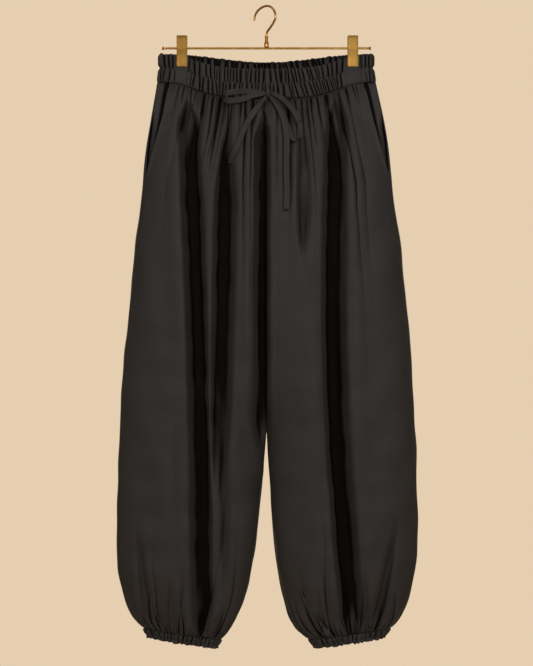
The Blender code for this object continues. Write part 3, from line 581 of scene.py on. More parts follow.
@functools.lru_cache(maxsize=None)
def panel_surface(leg, face):
    """A leg panel's outer points, outward directions and places on the cloth."""
    seed = 100 + 2 * leg + face
    count = PANEL_COLUMNS[face]
    levels = []
    for level, table in enumerate((WAIST_GATHERS, ANKLE_GATHERS)):
        for size, (number, slant, height, reach) in enumerate(table):
            levels.append((level, Gathers(number, seed + 30 * level + 10 * size, slant), height, reach))
    crumple = Crumple(seed + 60, 45, 130)
    across = np.linspace(0, 1, count + 1)
    rows = []
    for down in row_heights(WAIST_SEAM - PANEL_TUCK, CUFF_SEAM + PANEL_TUCK, 1.5, 9.0, 0.055):
        ring = Ring.get(leg, down, True)
        seam = ring.side + SEAMS.read("seam_forward", down)
        mouth = max(SEAMS.read("mouth", down), 0)
        if face == FRONT:
            start, end = seam + mouth + SHUT_GAP / 2, ring.along[-1] - SHUT_GAP / 2
        else:
            start, end = seam - SHUT_GAP / 2, SHUT_GAP / 2
        at, out = ring.columns(start, end, count)
        # Gathers hang straight down past the folds, which take up cloth as they deepen
        hung = np.interp(np.linspace(start, end, count + 1), ring.along, ring.unfolded)
        hung = (hung - hung[0]) / (hung[-1] - hung[0])
        away = (max(down - WAIST_SEAM, 0.0), max(CUFF_SEAM - down, 0.0))
        from_seam = across * abs(end - start)
        to_inner = (1 - across) * abs(end - start)
        wave = np.zeros(count + 1)
        for level, gathers, height, reach in levels:
            far = away[level] / reach
            ridges = gathers.read(hung, far, min(far, 2.0))
            # The long gathers begin well inside the side, which hangs plain
            share = smooth_step((from_seam - 12) / 55) if reach > LONG_REACH else 1.0
            wave += height * share * (ridges - 0.5 * math.exp(-(far**GATHER_FADE)))
        wave *= bpy.context.scene.joggers.gather_depth
        puff = 1.5 * math.exp(-away[0] / 14) + 2.0 * math.exp(-away[1] / 16)
        edge = smooth_step((from_seam - 3) / 14) * smooth_step((to_inner - 2) / 9)
        wave = (wave + puff) * edge + PANEL_CRUMPLE * crumple.read(from_seam, down) * edge
        # The front's side edge lies over the back's, and its pocket mouth stands a little open
        step = -0.8 if face == FRONT else 0.9
        groove = step * bell(from_seam / 3.5) + 0.9 * bell(to_inner / 2.2)
        if face == FRONT:
            groove = groove - 1.2 * smooth_step(mouth / 6) * bell(from_seam / 7)
        wave = wave - groove
        shut = math.exp(-((away[0] / SHUT_REACH) ** 2)) + math.exp(-((away[1] / SHUT_REACH) ** 2))
        wave = wave * (1 - shut) - 1.3 * shut
        at[:, 0] += face * CENTRE_SHIFT * bell(at[:, 0] / 25) * smooth_step((CROTCH - down) / 40)
        rows.append((at + out * (PANEL_WALL / 2 + wave)[:, None], out, place_row(from_seam, down)))
    return as_surface(rows)


def pocket_surface(leg):
    """The facing behind a slanted mouth: its outer points, directions and places."""
    under, shallow, deep, bottom = 6.0, 0.6, 4.0, 320.0
    crumple = Crumple(170 + leg, 30, 70)
    across = np.linspace(0, 1, FACING_COLUMNS + 1)
    from_seam = across * FACING_ACROSS
    rows = []
    for down in np.linspace(WAIST_SEAM - 1.0, bottom, FACING_ROWS):
        ring = Ring.get(leg, down, True)
        seam = ring.side + SEAMS.read("seam_forward", down)
        mouth = max(SEAMS.read("mouth", down), 0)
        start = SHUT_GAP / 2 - under / 2 * smooth_step((down - 225) / 40)
        at, out = ring.columns(seam + start, seam + mouth + under, FACING_COLUMNS)
        gap = shallow + (deep - shallow) * smooth_step((down - WAIST_SEAM) / 60)
        lower = smooth_step((down - 160) / 60)
        sinks = np.maximum(smooth_step(across * 2), lower) * (PANEL_WALL / 2 + gap + FACING_WALL / 2)
        sinks = sinks + 0.25 * crumple.read(from_seam, down)
        shut = math.exp(-(((down - WAIST_SEAM) / SHUT_REACH) ** 2))
        sinks = sinks + 0.8 * bell(from_seam / 2.2) * (1 - lower) + 1.2 * shut
        rows.append((at - out * (sinks - FACING_WALL / 2)[:, None], out, place_row(from_seam, down)))
    return as_surface(rows)


@functools.lru_cache(maxsize=None)
def waistband_surface(face):
    """The gathered casing of one face, in two padded channels with a stitched line between."""
    seed = 200 + face
    pleats = {FRONT: 54, BACK: 46}[face]
    upper, lower = Gathers(pleats, seed, 0.45), Gathers(pleats + 3, seed + 1, 0.6)
    fine = Gathers(2 * pleats + 9, seed + 2, 0.5)
    crumple = Crumple(seed + 3, 25, 60)
    across = np.linspace(0, 1, 2 * BAND_COLUMNS + 1)
    from_end = np.minimum(across, 1 - across) * BAND_ACROSS
    ends = smooth_step(from_end / 4)
    rows = []
    for part in np.linspace(0, 1, BAND_ROWS + 1):
        down = WAIST_TOP + (WAIST_SEAM + 0.2 - WAIST_TOP) * part
        halves = []
        for leg in (LEFT, RIGHT):
            ring = Ring.get(leg, down, False)
            halves.append(ring.columns(ring.side, ring.along[-1] if face == FRONT else 0.0, BAND_COLUMNS))
        at, out = (np.concatenate((halves[0][item], halves[1][item][-2::-1])) for item in (0, 1))
        at[0, 1] = at[-1, 1] = -face * SHUT_GAP / 2
        local = part / BAND_MIDDLE if part < BAND_MIDDLE else (part - BAND_MIDDLE) / (1 - BAND_MIDDLE)
        swell = math.sin(math.pi * local) ** 0.6
        blend = smooth_step((part - BAND_MIDDLE) / 0.1 + 0.5)
        x = at[:, 0].copy()
        drawn = across + BAND_LEAN * (0.5 - part) * bell((x - BAND_LEAN_X) / BAND_LEAN_WIDTH)
        ridges = (1 - blend) * upper.read(drawn, 0.0, part) + blend * lower.read(drawn, 0.0, part - 0.5)
        ridges = ridges - 0.5 + 0.35 * (fine.read(drawn, 0.0, part) - 0.5) * (1.15 - swell)
        # The gathers are calm round each clip and in the flat patch below it, and pressed in its grip
        calm, gripped = np.zeros_like(x), np.zeros_like(x)
        for leg in (LEFT, RIGHT):
            inward = (CLIP_X[leg] - x) * leg
            outside = np.abs(inward) - CLIP_WIDTH / 2
            patch = smooth_step((inward + 30) / 10) * smooth_step((24 - inward) / 10)
            calm = np.maximum(calm, patch * blend * FLAT_PATCH[leg])
            calm = np.maximum(calm, smooth_step((5 - outside) / 6))
            gripped = np.maximum(gripped, smooth_step((4 - outside) / 5))
        height = (0.45 + 0.75 * swell) * bpy.context.scene.joggers.band_depth
        raised = 1.1 * swell + ridges * height * (1 - calm)
        raised = raised + 0.25 * crumple.read(across * BAND_ACROSS, down)
        raised = raised * (1 - gripped * smooth_step((CLIP_GRIP_BOTTOM + 6 - down) / 8))
        raised = raised * (0.3 + 0.7 * ends) - 0.6 * (1 - ends)
        raised = raised - 1.5 * math.exp(-part / 0.025) - 0.7 * bell((part - 1) / 0.04)
        raised = raised - 0.5 * bell((part - BAND_MIDDLE) / 0.03)
        at[:, 2] += (1 - calm) * ends * (1.8 * (upper.read(across) - 0.5) * math.exp(-part / 0.12))
        pinch = 2.6 * bell((part - BAND_MIDDLE) / 0.07) + 1.8 * bell(part / 0.06)
        pinch = pinch + 1.2 * bell((part - 1) / 0.06)
        at[:, 0] -= np.sign(x) * pinch * (1 - smooth_step(from_end / 10))
        places = place_row(across * BAND_ACROSS, down)
        rows.append((at + out * (BAND_WALL / 2 + raised)[:, None], out, places))
    return as_surface(rows)


@functools.lru_cache(maxsize=None)
def cuff_surface(leg):
    """One ankle's casing: a gathered channel over a hem that flutes out in small ruffles."""
    seed = 300 + leg
    channel, hem = Gathers(44, seed, 0.4), Gathers(30, seed + 1, 0.5)
    fine = Gathers(90, seed + 2, 0.4)
    across = np.linspace(0, 1, CUFF_COLUMNS + 1)
    rows = []
    for part in np.linspace(0, 1, CUFF_ROWS + 1):
        down = CUFF_SEAM - 0.3 + (CUFF_HEM - CUFF_SEAM + 0.3) * part
        ring = Ring.get(leg, down, True)
        at, out = ring.columns(0.0, ring.along[-1], CUFF_COLUMNS)
        at[-1], out[-1] = at[0], out[0]
        swell = math.sin(math.pi * min(part / CUFF_STITCHED, 1.0)) ** 0.6
        flare = smooth_step((part - CUFF_STITCHED) / (1 - CUFF_STITCHED))
        ridges = channel.read(across, 0.0, part) * (1 - flare)
        ridges = ridges + hem.read(across, 0.0, part) * flare - 0.5
        ridges = ridges + 0.3 * (fine.read(across) - 0.5)
        height = (0.6 + 0.5 * swell + 0.9 * flare) * bpy.context.scene.joggers.band_depth
        raised = 0.6 * swell + ridges * height - 0.8 * bell(part / 0.06)
        raised[-1] = raised[0]
        at[:, 2] += (ridges * -2.2 + 0.3) * flare
        at[-1, 2] = at[0, 2]
        places = place_row(across * CUFF_ACROSS, down)
        rows.append((at + out * (BAND_WALL / 2 + raised)[:, None], out, places))
    return as_surface(rows)


def cloth_reach(face, x, down):
    """How far from the hanger's plane the middle of a face's cloth lies.

    The ring that passes the place is found in a few steps, because its middle sags.
    """
    leg = LEFT if x < 0 else RIGHT
    level = down
    for _ in range(4):
        ring = Ring(leg, level, False)
        half = ring.at[FINE:] if face == FRONT else ring.at[: FINE + 1]
        half = half[np.argsort(np.abs(half[:, 0]))]
        level += down + np.interp(abs(x), np.abs(half[:, 0]), half[:, 2])
    return -face * np.interp(abs(x), np.abs(half[:, 0]), half[:, 1])


# Making pieces


def new_object(name, data):
    """An object in the scene with the data given."""
    made = bpy.data.objects.new(name, data)
    bpy.context.scene.collection.objects.link(made)
    return made


def add_piece(name, mesh, material, slot, *nodes):
    """Put a bmesh into the scene as a smooth piece that stands for the CAD nodes named."""
    data = bpy.data.meshes.new(name)
    mesh.to_mesh(data)
    mesh.free()
    data.shade_smooth()
    data.materials.append(material)
    piece = new_object(name, data)
    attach(piece, BODY)
    if nodes:
        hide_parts(*nodes)
    return piece


def sunk_shares(points, outs, reach, depth):
    """How deep each point lies below the cloth beside it, from 0 to 1 at a depth in millimetres.

    The cloth beside it is the mean of its row within a reach to both sides.
    """
    step = np.median(np.linalg.norm(np.diff(points, axis=1), axis=2))
    half = max(int(round(reach / step)), 1)
    padded = np.pad(points, ((0, 0), (half + 1, half), (0, 0)), mode="edge")
    sums = np.cumsum(padded, axis=1)
    means = (sums[:, 2 * half + 1 :] - sums[:, : -2 * half - 1]) / (2 * half + 1)
    return np.clip(((means - points) * outs).sum(axis=2) / depth, 0, 1)


def sorted_grid(mesh, rows, columns):
    """The verts of a new grid, row by row."""
    grid = bmesh.ops.create_grid(mesh, x_segments=columns - 1, y_segments=rows - 1, size=1)["verts"]
    return sorted(grid, key=lambda vert: (round(vert.co.y, 4), round(vert.co.x, 4)))


def cloth_sheet(name, surface, thickness, node, folds, closed=False, covered=0.0):
    """A thin shell of cloth inward from a grid of outer points, with its places as UV.

    folds: a reach and a depth for each size of its folds, whose troughs get painted shade through an
    attribute;
    covered: how much painted shade each column gets where cloth lies over it, from 0 to 1.
    """
    # Painted shade: each point's darkening in the cloth's colour, from the depth of its folds and from cloth
    # over it
    shares = np.max([sunk_shares(*surface[:2], reach, depth) for reach, depth in folds], axis=0)
    shares = np.maximum(shares, covered).ravel()
    rows, columns = surface[0].shape[:2]
    points, outs, places = (one.reshape(rows * columns, -1) for one in surface)
    mesh = bmesh.new()
    number = mesh.verts.layers.int.new("number")
    shaded = mesh.verts.layers.float.new("fold_shade")
    layer = mesh.loops.layers.uv.new("cloth")
    for index, vert in enumerate(sorted_grid(mesh, rows, columns)):
        vert[number] = index
        vert.co = points[index] * MM
        vert[shaded] = float(shares[index])
    for face in mesh.faces:
        for loop in face.loops:
            loop[layer].uv = places[loop.vert[number]] * MM
    mesh.normal_update()
    if sum(face.normal.dot(Vector(outs[face.verts[0][number]])) for face in mesh.faces) < 0:
        bmesh.ops.reverse_faces(mesh, faces=mesh.faces[:])
    if closed:
        bmesh.ops.remove_doubles(mesh, verts=mesh.verts[:], dist=0.001 * MM)
    piece = add_piece(name, mesh, woven_cloth(), "cloth", node)
    wall = piece.modifiers.new("cloth thickness", "SOLIDIFY")
    wall.thickness = thickness * MM
    wall.offset = -1.0
    return piece


def skin(mesh, sections, closed=False):
    """Faces through sections, lists of points in millimetres, capped or closed into a ring.

    They get the weave's places as they are seen from the front.
    """
    layer = mesh.loops.layers.uv.new("cloth")
    loops = []
    for section in sections:
        verts = [mesh.verts.new(Vector(corner) * MM) for corner in section]
        loops.append([mesh.edges.new(pair) for pair in zip(verts, verts[1:] + verts[:1])])
        if not closed and (section is sections[0] or section is sections[-1]):
            mesh.faces.new(verts)
    for first, second in zip(loops, loops[1:] + loops[:1] if closed else loops[1:]):
        bmesh.ops.bridge_loops(mesh, edges=first + second)
    bmesh.ops.recalc_face_normals(mesh, faces=mesh.faces[:])
    for face in mesh.faces:
        for loop in face.loops:
            loop[layer].uv = (loop.vert.co.x, -loop.vert.co.z)


def sweep(name, stations, material, slot, *nodes):
    """A closed skin through sections, each a list of points in millimetres, capped at its ends."""
    mesh = bmesh.new()
    skin(mesh, stations)
    return add_piece(name, mesh, material, slot, *nodes)


def evenly_along(table, count):
    """Rows of a table of places, evenly spaced along its smooth curve."""
    rows = np.array(table.rows, float)
    along = arc_lengths(rows[:, :3])
    guide = Table("along " + " ".join(table.names), *np.column_stack((along, rows)))
    places = np.linspace(0, along[-1], count)
    return [{name: float(guide.read(name, place)) for name in table.names} for place in places]


def wire_sections(centres, radii, sides=20):
    """Round sections square to a path, one for each of its points."""
    sections = []
    side = Vector((0, 1, 0))
    for index, centre in enumerate(centres):
        ahead = centres[min(index + 1, len(centres) - 1)] - centres[max(index - 1, 0)]
        tangent = ahead.normalized()
        side = (side - tangent * side.dot(tangent)).normalized()
        other = tangent.cross(side)
        turns = [2 * math.pi * step / sides for step in range(sides)]
        radius = radii[index]
        sections.append([centre + (side * math.cos(a) + other * math.sin(a)) * radius for a in turns])
    return sections


def turned(name, profile, axis, place, material, nodes):
    """A profile of (radius, height) spun about an axis. It is closed, or it ends on the axis."""
    mesh = bmesh.new()
    verts = [mesh.verts.new((radius, 0, height)) for radius, height in profile]
    pairs = list(zip(verts, verts[1:]))
    if profile[0][0] > 0:
        pairs.append((verts[-1], verts[0]))
    edges = [mesh.edges.new(pair) for pair in pairs]
    bmesh.ops.spin(
        mesh, geom=verts + edges, cent=(0, 0, 0), axis=(0, 0, 1), angle=2 * math.pi, steps=48,
        use_merge=True,
    )
    bmesh.ops.remove_doubles(mesh, verts=mesh.verts[:], dist=0.001)
    bmesh.ops.recalc_face_normals(mesh, faces=mesh.faces[:])
    turn = Matrix.Rotation(math.pi / 2, 4, "Y") if axis == "X" else Matrix.Identity(4)
    matrix = Matrix.Scale(MM, 4) @ Matrix.Translation(place) @ turn
    bmesh.ops.transform(mesh, matrix=matrix, verts=mesh.verts[:])
    return add_piece(name, mesh, material, "brass", *nodes)


def thread_matrices(points, outs, pitch, length, thickness):
    """Where each stitch lies along a line on the cloth, and how it is turned and sized."""
    along = arc_lengths(points)
    matrices = []
    for place in np.arange(pitch, along[-1] - pitch / 2, pitch):
        first = Vector(read_along(points, along, place - length / 2))
        second = Vector(read_along(points, along, place + length / 2))
        out = Vector(read_along(outs, along, place))
        tangent = (second - first).normalized()
        across = out.cross(tangent).normalized()
        centre = (first + second) / 2 + out.normalized() * thickness * 0.2
        turn = Matrix((tangent, across, tangent.cross(across))).transposed().to_4x4()
        size = Matrix.Diagonal((length, thickness, thickness, 1))
        matrices.append(Matrix.Scale(MM, 4) @ Matrix.Translation(centre) @ turn @ size)
    return matrices


def stitches(name, lines, pitch, length, thickness):
    """Short threads lying along lines on the cloth, each line its points and outward directions.

    They are made in small batches, because each operation takes longer in a large mesh.
    """
    matrices = [matrix for line in lines for matrix in thread_matrices(*line, pitch, length, thickness)]
    mesh = bmesh.new()
    batch_size = 24
    for start in range(0, len(matrices), batch_size):
        batch = bmesh.new()
        for matrix in matrices[start : start + batch_size]:
            bmesh.ops.create_uvsphere(batch, u_segments=6, v_segments=4, radius=0.5, matrix=matrix)
        data = bpy.data.meshes.new("batch")
        batch.to_mesh(data)
        batch.free()
        mesh.from_mesh(data)
        bpy.data.meshes.remove(data)
    return add_piece(name, mesh, sewing_thread(), "cloth")


def line_beside_edge(surface, distance, rows):
    """The points and directions at a distance along the cloth from a surface's first edge."""
    alongs = [arc_lengths(surface[0][row]) for row in rows]
    return [
        np.array([read_along(values[row], along, distance) for row, along in zip(rows, alongs)])
        for values in surface[:2]
    ]


# Materials


def linear(colour):
    """An sRGB hex colour as linear red, green and blue."""
    values = [int(colour[start : start + 2], 16) / 255 for start in (1, 3, 5)]
    return tuple(value / 12.92 if value <= 0.04045 else ((value + 0.055) / 1.055) ** 2.4 for value in values)


def add_node(tree, kind, inputs=None, **settings):
    """Add a shader node with its own settings, and with values or other outputs on its inputs."""
    made = tree.nodes.new(kind)
    for name, value in settings.items():
        setattr(made, name, value)
    for name, value in (inputs or {}).items():
        if isinstance(value, bpy.types.NodeSocket):
            tree.links.new(value, made.inputs[name])
        else:
            made.inputs[name].default_value = value
    return made


def mix_colours(tree, share, first, second):
    """The output of a node that mixes two colours, or outputs that give them, by a share."""
    colours = [one if isinstance(one, bpy.types.NodeSocket) else (*one, 1) for one in (first, second)]
    factor, one, other, result = 0, 6, 7, 2
    inputs = {factor: share, one: colours[0], other: colours[1]}
    return add_node(tree, "ShaderNodeMix", inputs, data_type="RGBA").outputs[result]


def noise(tree, place, scale, detail):
    """The output of a noise texture."""
    inputs = {"Vector": place, "Scale": scale, "Detail": detail}
    return add_node(tree, "ShaderNodeTexNoise", inputs).outputs[0]


def scaled(tree, place, scale):
    """The output of a node that stretches places by a scale on each axis."""
    return add_node(tree, "ShaderNodeMapping", {"Vector": place, "Scale": scale}).outputs[0]


def spread(tree, value, low, high, start=0.0, end=1.0, **settings):
    """The output of a node that maps a value between start and end to one between low and high."""
    inputs = {"Value": value, "From Min": start, "From Max": end, "To Min": low, "To Max": high}
    return add_node(tree, "ShaderNodeMapRange", inputs, **settings).outputs[0]


def bump(tree, height, strength, distance, **under):
    """The output of a node that raises the surface by a height."""
    inputs = {"Height": height, "Strength": strength, "Distance": distance, **under}
    return add_node(tree, "ShaderNodeBump", inputs).outputs[0]


def start_material(name, sockets):
    """A new material, its node tree and its Principled shader with the values given."""
    material = bpy.data.materials.new(name)
    material.use_nodes = True
    shader = material.node_tree.nodes["Principled BSDF"]
    for socket, value in sockets.items():
        shader.inputs[socket].default_value = value
    return material, material.node_tree, shader


def feed(tree, shader, outputs):
    """Link outputs to the shader's sockets named."""
    for socket, output in outputs.items():
        tree.links.new(output, shader.inputs[socket])


def woven_cloth():
    """Polyester and viscose twill, woven: a soft dark face with a low sheen and faint slubs."""
    made = bpy.data.materials.get("woven_viscose_twill")
    if made:
        return made
    # The eye sees a matt charcoal that lightens a little where it turns away
    fixed = {"IOR": 1.45, "Metallic": 0.0, "Sheen Roughness": 0.45, "Sheen Tint": (*linear("#d8cfc6"), 1)}
    material, tree, shader = start_material("woven_viscose_twill", fixed)
    settings = bpy.context.scene.joggers
    place = add_node(tree, "ShaderNodeUVMap", uv_map="cloth").outputs["UV"]
    # The twill's lines are some 0.6 mm apart and too fine to show, so they are drawn 1.9 mm apart
    thread = 0.0013
    inputs = {"Vector": scaled(tree, place, (1 / thread, 1 / thread, 1)), "Scale": 0.31, "Distortion": 0.6}
    twill = add_node(tree, "ShaderNodeTexWave", inputs, bands_direction="DIAGONAL").outputs[1]
    # Slubs are thick places in the weft, some 20 mm long and 1 mm high
    slub = noise(tree, scaled(tree, place, (45.0, 900.0, 1)), 1.0, 3.0)
    # Broad shading where the cloth has been handled and pressed, over some 80 mm
    worn = noise(tree, place, 12.0, 4.0)
    both = add_node(tree, "ShaderNodeMath", {0: slub, 1: worn}, operation="ADD").outputs[0]
    shade = mix_colours(tree, spread(tree, both, 0, 1, 0.7, 1.3), settings.cloth_dark, settings.cloth_light)
    # Painted shade: deep in the folds, as the fold_shade attribute gives, the colour is mixed towards a
    # near-black copy of the cloth and its shine and sheen are taken down, standing in for light that real
    # folds keep away
    deep = add_node(tree, "ShaderNodeAttribute", attribute_name="fold_shade").outputs["Fac"]
    painted_shade_share = spread(tree, deep, 0, settings.fold_shade, 0, 0.9, interpolation_type="SMOOTHSTEP")
    # The painted shade's colour: a near-black copy of the cloth's darker tone
    dark = [channel * 0.06 for channel in settings.cloth_dark]
    normal = bump(tree, twill, 0.22, 0.0003)
    feed(tree, shader, {
        "Base Color": mix_colours(tree, painted_shade_share, shade, dark),
        "Specular IOR Level": spread(tree, painted_shade_share, 0.3, 0.02),
        "Sheen Weight": spread(tree, painted_shade_share, 0.06, 0.0),
        "Roughness": spread(tree, worn, 0.56, 0.68, 0.3, 0.7),
        "Normal": bump(tree, slub, 0.35, 0.0004, Normal=normal),
    })
    return material


def sewing_thread():
    """Spun polyester thread, twisted: the cloth's colour with a harder shine."""
    made = bpy.data.materials.get("spun_polyester_thread")
    if made:
        return made
    fixed = {"IOR": 1.5, "Metallic": 0.0, "Sheen Weight": 0.1, "Base Color": (*linear("#2c2928"), 1)}
    material, tree, shader = start_material("spun_polyester_thread", fixed)
    # The twist of the plies, some 0.5 mm from one to the next
    place = add_node(tree, "ShaderNodeTexCoord").outputs["Object"]
    twist = noise(tree, place, 1900.0, 1.0)
    rough = spread(tree, twist, 0.42, 0.58)
    feed(tree, shader, {"Roughness": rough, "Normal": bump(tree, twist, 0.4, 0.0001)})
    return material


def brass(name, roughness, deep, bright):
    """Brass-plated steel: a warm metal, brushed along X on the plates and drawn on the wire."""
    made = bpy.data.materials.get(name)
    if made:
        return made
    material, tree, shader = start_material(name, {"Metallic": 1.0})
    place = add_node(tree, "ShaderNodeTexCoord").outputs["Object"]
    # Brush lines are some 0.3 mm apart, drawn at 0.6 mm, and long along the brushed direction
    grain = noise(tree, scaled(tree, place, (60.0, 1700.0, 1700.0)), 1.0, 2.0)
    smudge = noise(tree, place, 60.0, 3.0)
    feed(tree, shader, {
        "Roughness": spread(tree, smudge, roughness - 0.05, roughness + 0.07, 0.3, 0.7),
        "Base Color": mix_colours(tree, spread(tree, smudge, 0, 1, 0.3, 0.7), deep, bright),
        "Normal": bump(tree, grain, 0.12, 0.0001),
    })
    return material


def brass_plate():
    """Brushed brass plate, a little tarnished."""
    settings = bpy.context.scene.joggers
    return brass("brushed_brass_plate", 0.42, settings.plate_deep, settings.plate_bright)


def brass_wire():
    """Drawn brass-plated wire."""
    settings = bpy.context.scene.joggers
    return brass("drawn_brass_wire", 0.28, settings.wire_deep, settings.wire_bright)


def painted_floor():
    """Matt paint on a smooth studio floor."""
    fixed = {"Roughness": 0.85, "Metallic": 0.0, "Base Color": (*bpy.context.scene.joggers.backdrop, 1)}
    material, tree, shader = start_material("matt_studio_paint", fixed)
    place = add_node(tree, "ShaderNodeTexCoord").outputs["Object"]
    # Faint roller marks some 60 mm across
    feed(tree, shader, {"Normal": bump(tree, noise(tree, place, 16.0, 3.0), 0.05, 0.001)})
    return material


# Pieces


def make_knot():
    """The pulled knot: a small crumpled core with one turn of the tape wrapped over it."""
    forward = cloth_reach(FRONT, KNOT_X, KNOT_DOWN) + BAND_WALL / 2 + KNOT_OFF_BAND + KNOT_RADII[1]
    centre = Vector((KNOT_X, -forward, -KNOT_DOWN))
    crumple = Crumple(400, 5, 11, 8)
    mesh = bmesh.new()
    bmesh.ops.create_uvsphere(mesh, u_segments=40, v_segments=26, radius=1.0)
    for vert in mesh.verts:
        swell = 1 + 0.1 * float(crumple.read(vert.co.x * 6 + vert.co.y * 3, vert.co.z * 6))
        core = Vector([vert.co[axis] * KNOT_RADII[axis] * 0.96 * swell for axis in range(3)])
        vert.co = (centre + core) * MM
    tilt = math.sin(math.radians(24))
    half = ((0, 0.72), (0.5, 1), (0.9, 0.8), (1, 0), (0.5, -0.7))
    tape = [(-a, b) for a, b in half[3:0:-1]] + [*half, (-0.5, -0.7)]
    sections = []
    for step in range(40):
        angle = 2 * math.pi * step / 40
        lift = 0.15
        ray = Vector((0, math.cos(angle) * (KNOT_RADII[1] + lift), math.sin(angle) * (KNOT_RADII[2] + lift)))
        wide = Vector((1, 0, tilt)).normalized() * (2.7 + 0.35 * math.sin(3 * angle))
        sections.append([centre + ray + wide * a + ray.normalized() * (b * 0.65) for a, b in tape])
    skin(mesh, sections, closed=True)
    return add_piece("drawstring_knot", mesh, woven_cloth(), "cloth", "tie_knot")


def make_ribbon(name, count):
    """A flat strand of the drawstring: folded tape, stitched edge to edge, with a soft middle."""
    stations = evenly_along(TIE_ROUTES[name], count)
    centres = []
    for row in stations:
        forward = cloth_reach(FRONT, row["x"], row["down"]) + row["out"]
        centres.append(Vector((row["x"], -forward, -row["down"])))
    rng = np.random.default_rng(len(name))
    waver = Crumple(len(name) + 500, 14, 40)
    sections = []
    for index, row in enumerate(stations):
        ahead = centres[min(index + 1, count - 1)] - centres[max(index - 1, 0)]
        tangent = ahead.normalized()
        angle = math.radians(row["turn"] + 5 * float(waver.read(index * 3.0, 0.0)))
        wide = Vector((math.cos(angle), 0, math.sin(angle)))
        wide = (wide - tangent * wide.dot(tangent)).normalized()
        plump = (0.55, 0.85, 1.0)[min(index, count - 1 - index, 2)]
        narrow = 0.9 + 0.05 * float(waver.read(index * 3.0, 40.0)) + rng.uniform(-0.01, 0.01)
        wide, thick = wide * row["width"] * narrow, tangent.cross(wide) * TIE_THICKNESS * plump
        sections.append([centres[index] + wide * a + thick * b for a, b in TAPE_PROFILE])
    piece = sweep(f"drawstring_{name[4:]}", sections, woven_cloth(), "cloth", name)
    return piece


def hook_centres(count):
    """The hook's wire: its middle line from the tip over the crown to the foot of the shank."""
    steps = 9
    crown = WIRE_RADIUS - HOOK_HEIGHT
    points = []
    for step in range(2 * steps + 1):
        angle = math.pi * step / (2 * steps)
        reach = HOOK_TIP_REACH if step < steps else HOOK_FRONT_REACH
        level = -math.cos(angle) * reach
        x, y = level * math.cos(HOOK_TURN), -level * math.sin(HOOK_TURN)
        points.append((x, y, crown + HOOK_HEIGHT * math.sin(angle)))
    points.extend(HOOK_NECK)
    rows = evenly_along(Table("x y z", *points), count)
    return [Vector((row["x"], row["y"], row["z"])) for row in rows]


def make_hook():
    """The bent wire with a rounded tip."""
    centres = hook_centres(150)
    tangent = (centres[0] - centres[1]).normalized()
    ball, radii = [], []
    for step in range(6):
        angle = math.pi / 2 * (1 - step / 6)
        ball.append(centres[0] + tangent * WIRE_RADIUS * 0.7 * math.sin(angle))
        radii.append(max(WIRE_RADIUS * math.cos(angle), 0.15))
    radii += [WIRE_RADIUS] * len(centres)
    return sweep("hook_wire", wire_sections(ball + centres, radii), brass_wire(), "brass", "hanger_hook")


def make_bar():
    """The bar with its turned end knobs, and the stepped collar that holds the shank."""
    knob = 3.1
    outline = [(0.0, 0.0), (1.2, 0.05), (2.2, 0.35), (2.85, 0.95), (knob, 1.7), (knob, 2.4), (2.9, 2.9)]
    outline += [(2.3, 3.4), (WIRE_RADIUS, 4.0), (WIRE_RADIUS, 6.0)]
    half = [(radius, BAR_HALF_LENGTH - from_end) for radius, from_end in outline]
    profile = half + [(WIRE_RADIUS, 0.0)] + [(radius, -height) for radius, height in reversed(half)]
    turned("bar_with_knobs", profile, "X", (0, 0, -BAR_DOWN), brass_wire(), ["hanger_bar"])
    bore, neck, body = WIRE_RADIUS + 0.05, 2.9, 4.2
    top, step, low = -49.0, -59.5, -BAR_DOWN + WIRE_RADIUS - 0.2
    outside = [(bore, top), (neck - 0.5, top), (neck - 0.1, top - 0.2), (neck, top - 0.6)]
    outside += [(neck, step + 0.5), (neck + 0.3, step - 0.2), (body - 0.4, step - 0.6), (body, step - 1.2)]
    outside += [(body, low + 0.6), (body - 0.15, low + 0.2), (body - 0.6, low), (bore, low)]
    turned("shank_collar", outside, "Z", (0, 0, 0), brass_wire(), ["hanger_collar"])


def clip_profile(leg, face):
    """One jaw's plate from the side: (down, reach) from over the bar to its grip."""
    across = [CLIP_X[leg] + side * CLIP_WIDTH / 2 for side in (LEFT, 0, RIGHT)]
    profile = [(49.0, 7.8), (54.0, 7.1), (60.0, 6.5), (65.0, 6.1), (70.0, 5.8), (75.0, 5.4)]
    for down in (82.0, 90.0, CLIP_GRIP_BOTTOM - 2.0, CLIP_GRIP_BOTTOM):
        cloth = max(cloth_reach(face, x, down) for x in across)
        profile.append((down, cloth + BAND_WALL / 2 + CLIP_GAP + CLIP_PLATE / 2))
    return profile


def make_clip_plate(leg, face):
    """One jaw: a bent plate with rounded edges and a shallow border pressed round its face."""
    profile = clip_profile(leg, face)
    columns = 5
    mesh = bmesh.new()
    for index, vert in enumerate(sorted_grid(mesh, len(profile), columns)):
        down, reach = profile[index // columns]
        x = CLIP_X[leg] + CLIP_WIDTH * (index % columns / (columns - 1) - 0.5)
        vert.co = Vector((x, -face * (reach + CLIP_PLATE / 2), -down)) * MM
    copy = bmesh.ops.extrude_face_region(mesh, geom=mesh.faces[:], use_keep_orig=True)["geom"]
    for vert in copy:
        if isinstance(vert, bmesh.types.BMVert):
            vert.co.y += face * CLIP_PLATE * MM
    bmesh.ops.recalc_face_normals(mesh, faces=mesh.faces[:])
    outside = [side for side in mesh.faces if side.normal.y * -face > 0.8]
    bmesh.ops.inset_region(mesh, faces=outside, thickness=1.3 * MM, depth=0)
    pressed = [side for side in outside if side.is_valid]
    bmesh.ops.inset_region(mesh, faces=pressed, thickness=0.25 * MM, depth=-0.3 * MM)
    name = f"{side_name(leg)}_{face_name(face)}"
    piece = add_piece(f"clip_plate_{name}", mesh, brass_plate(), "brass", f"clip_{name}")
    rounded = piece.modifiers.new("rounded edges", "BEVEL")
    rounded.width = 0.28 * MM
    rounded.segments = 3
    rounded.limit_method = "ANGLE"
    rounded.angle_limit = math.radians(32)
    return piece


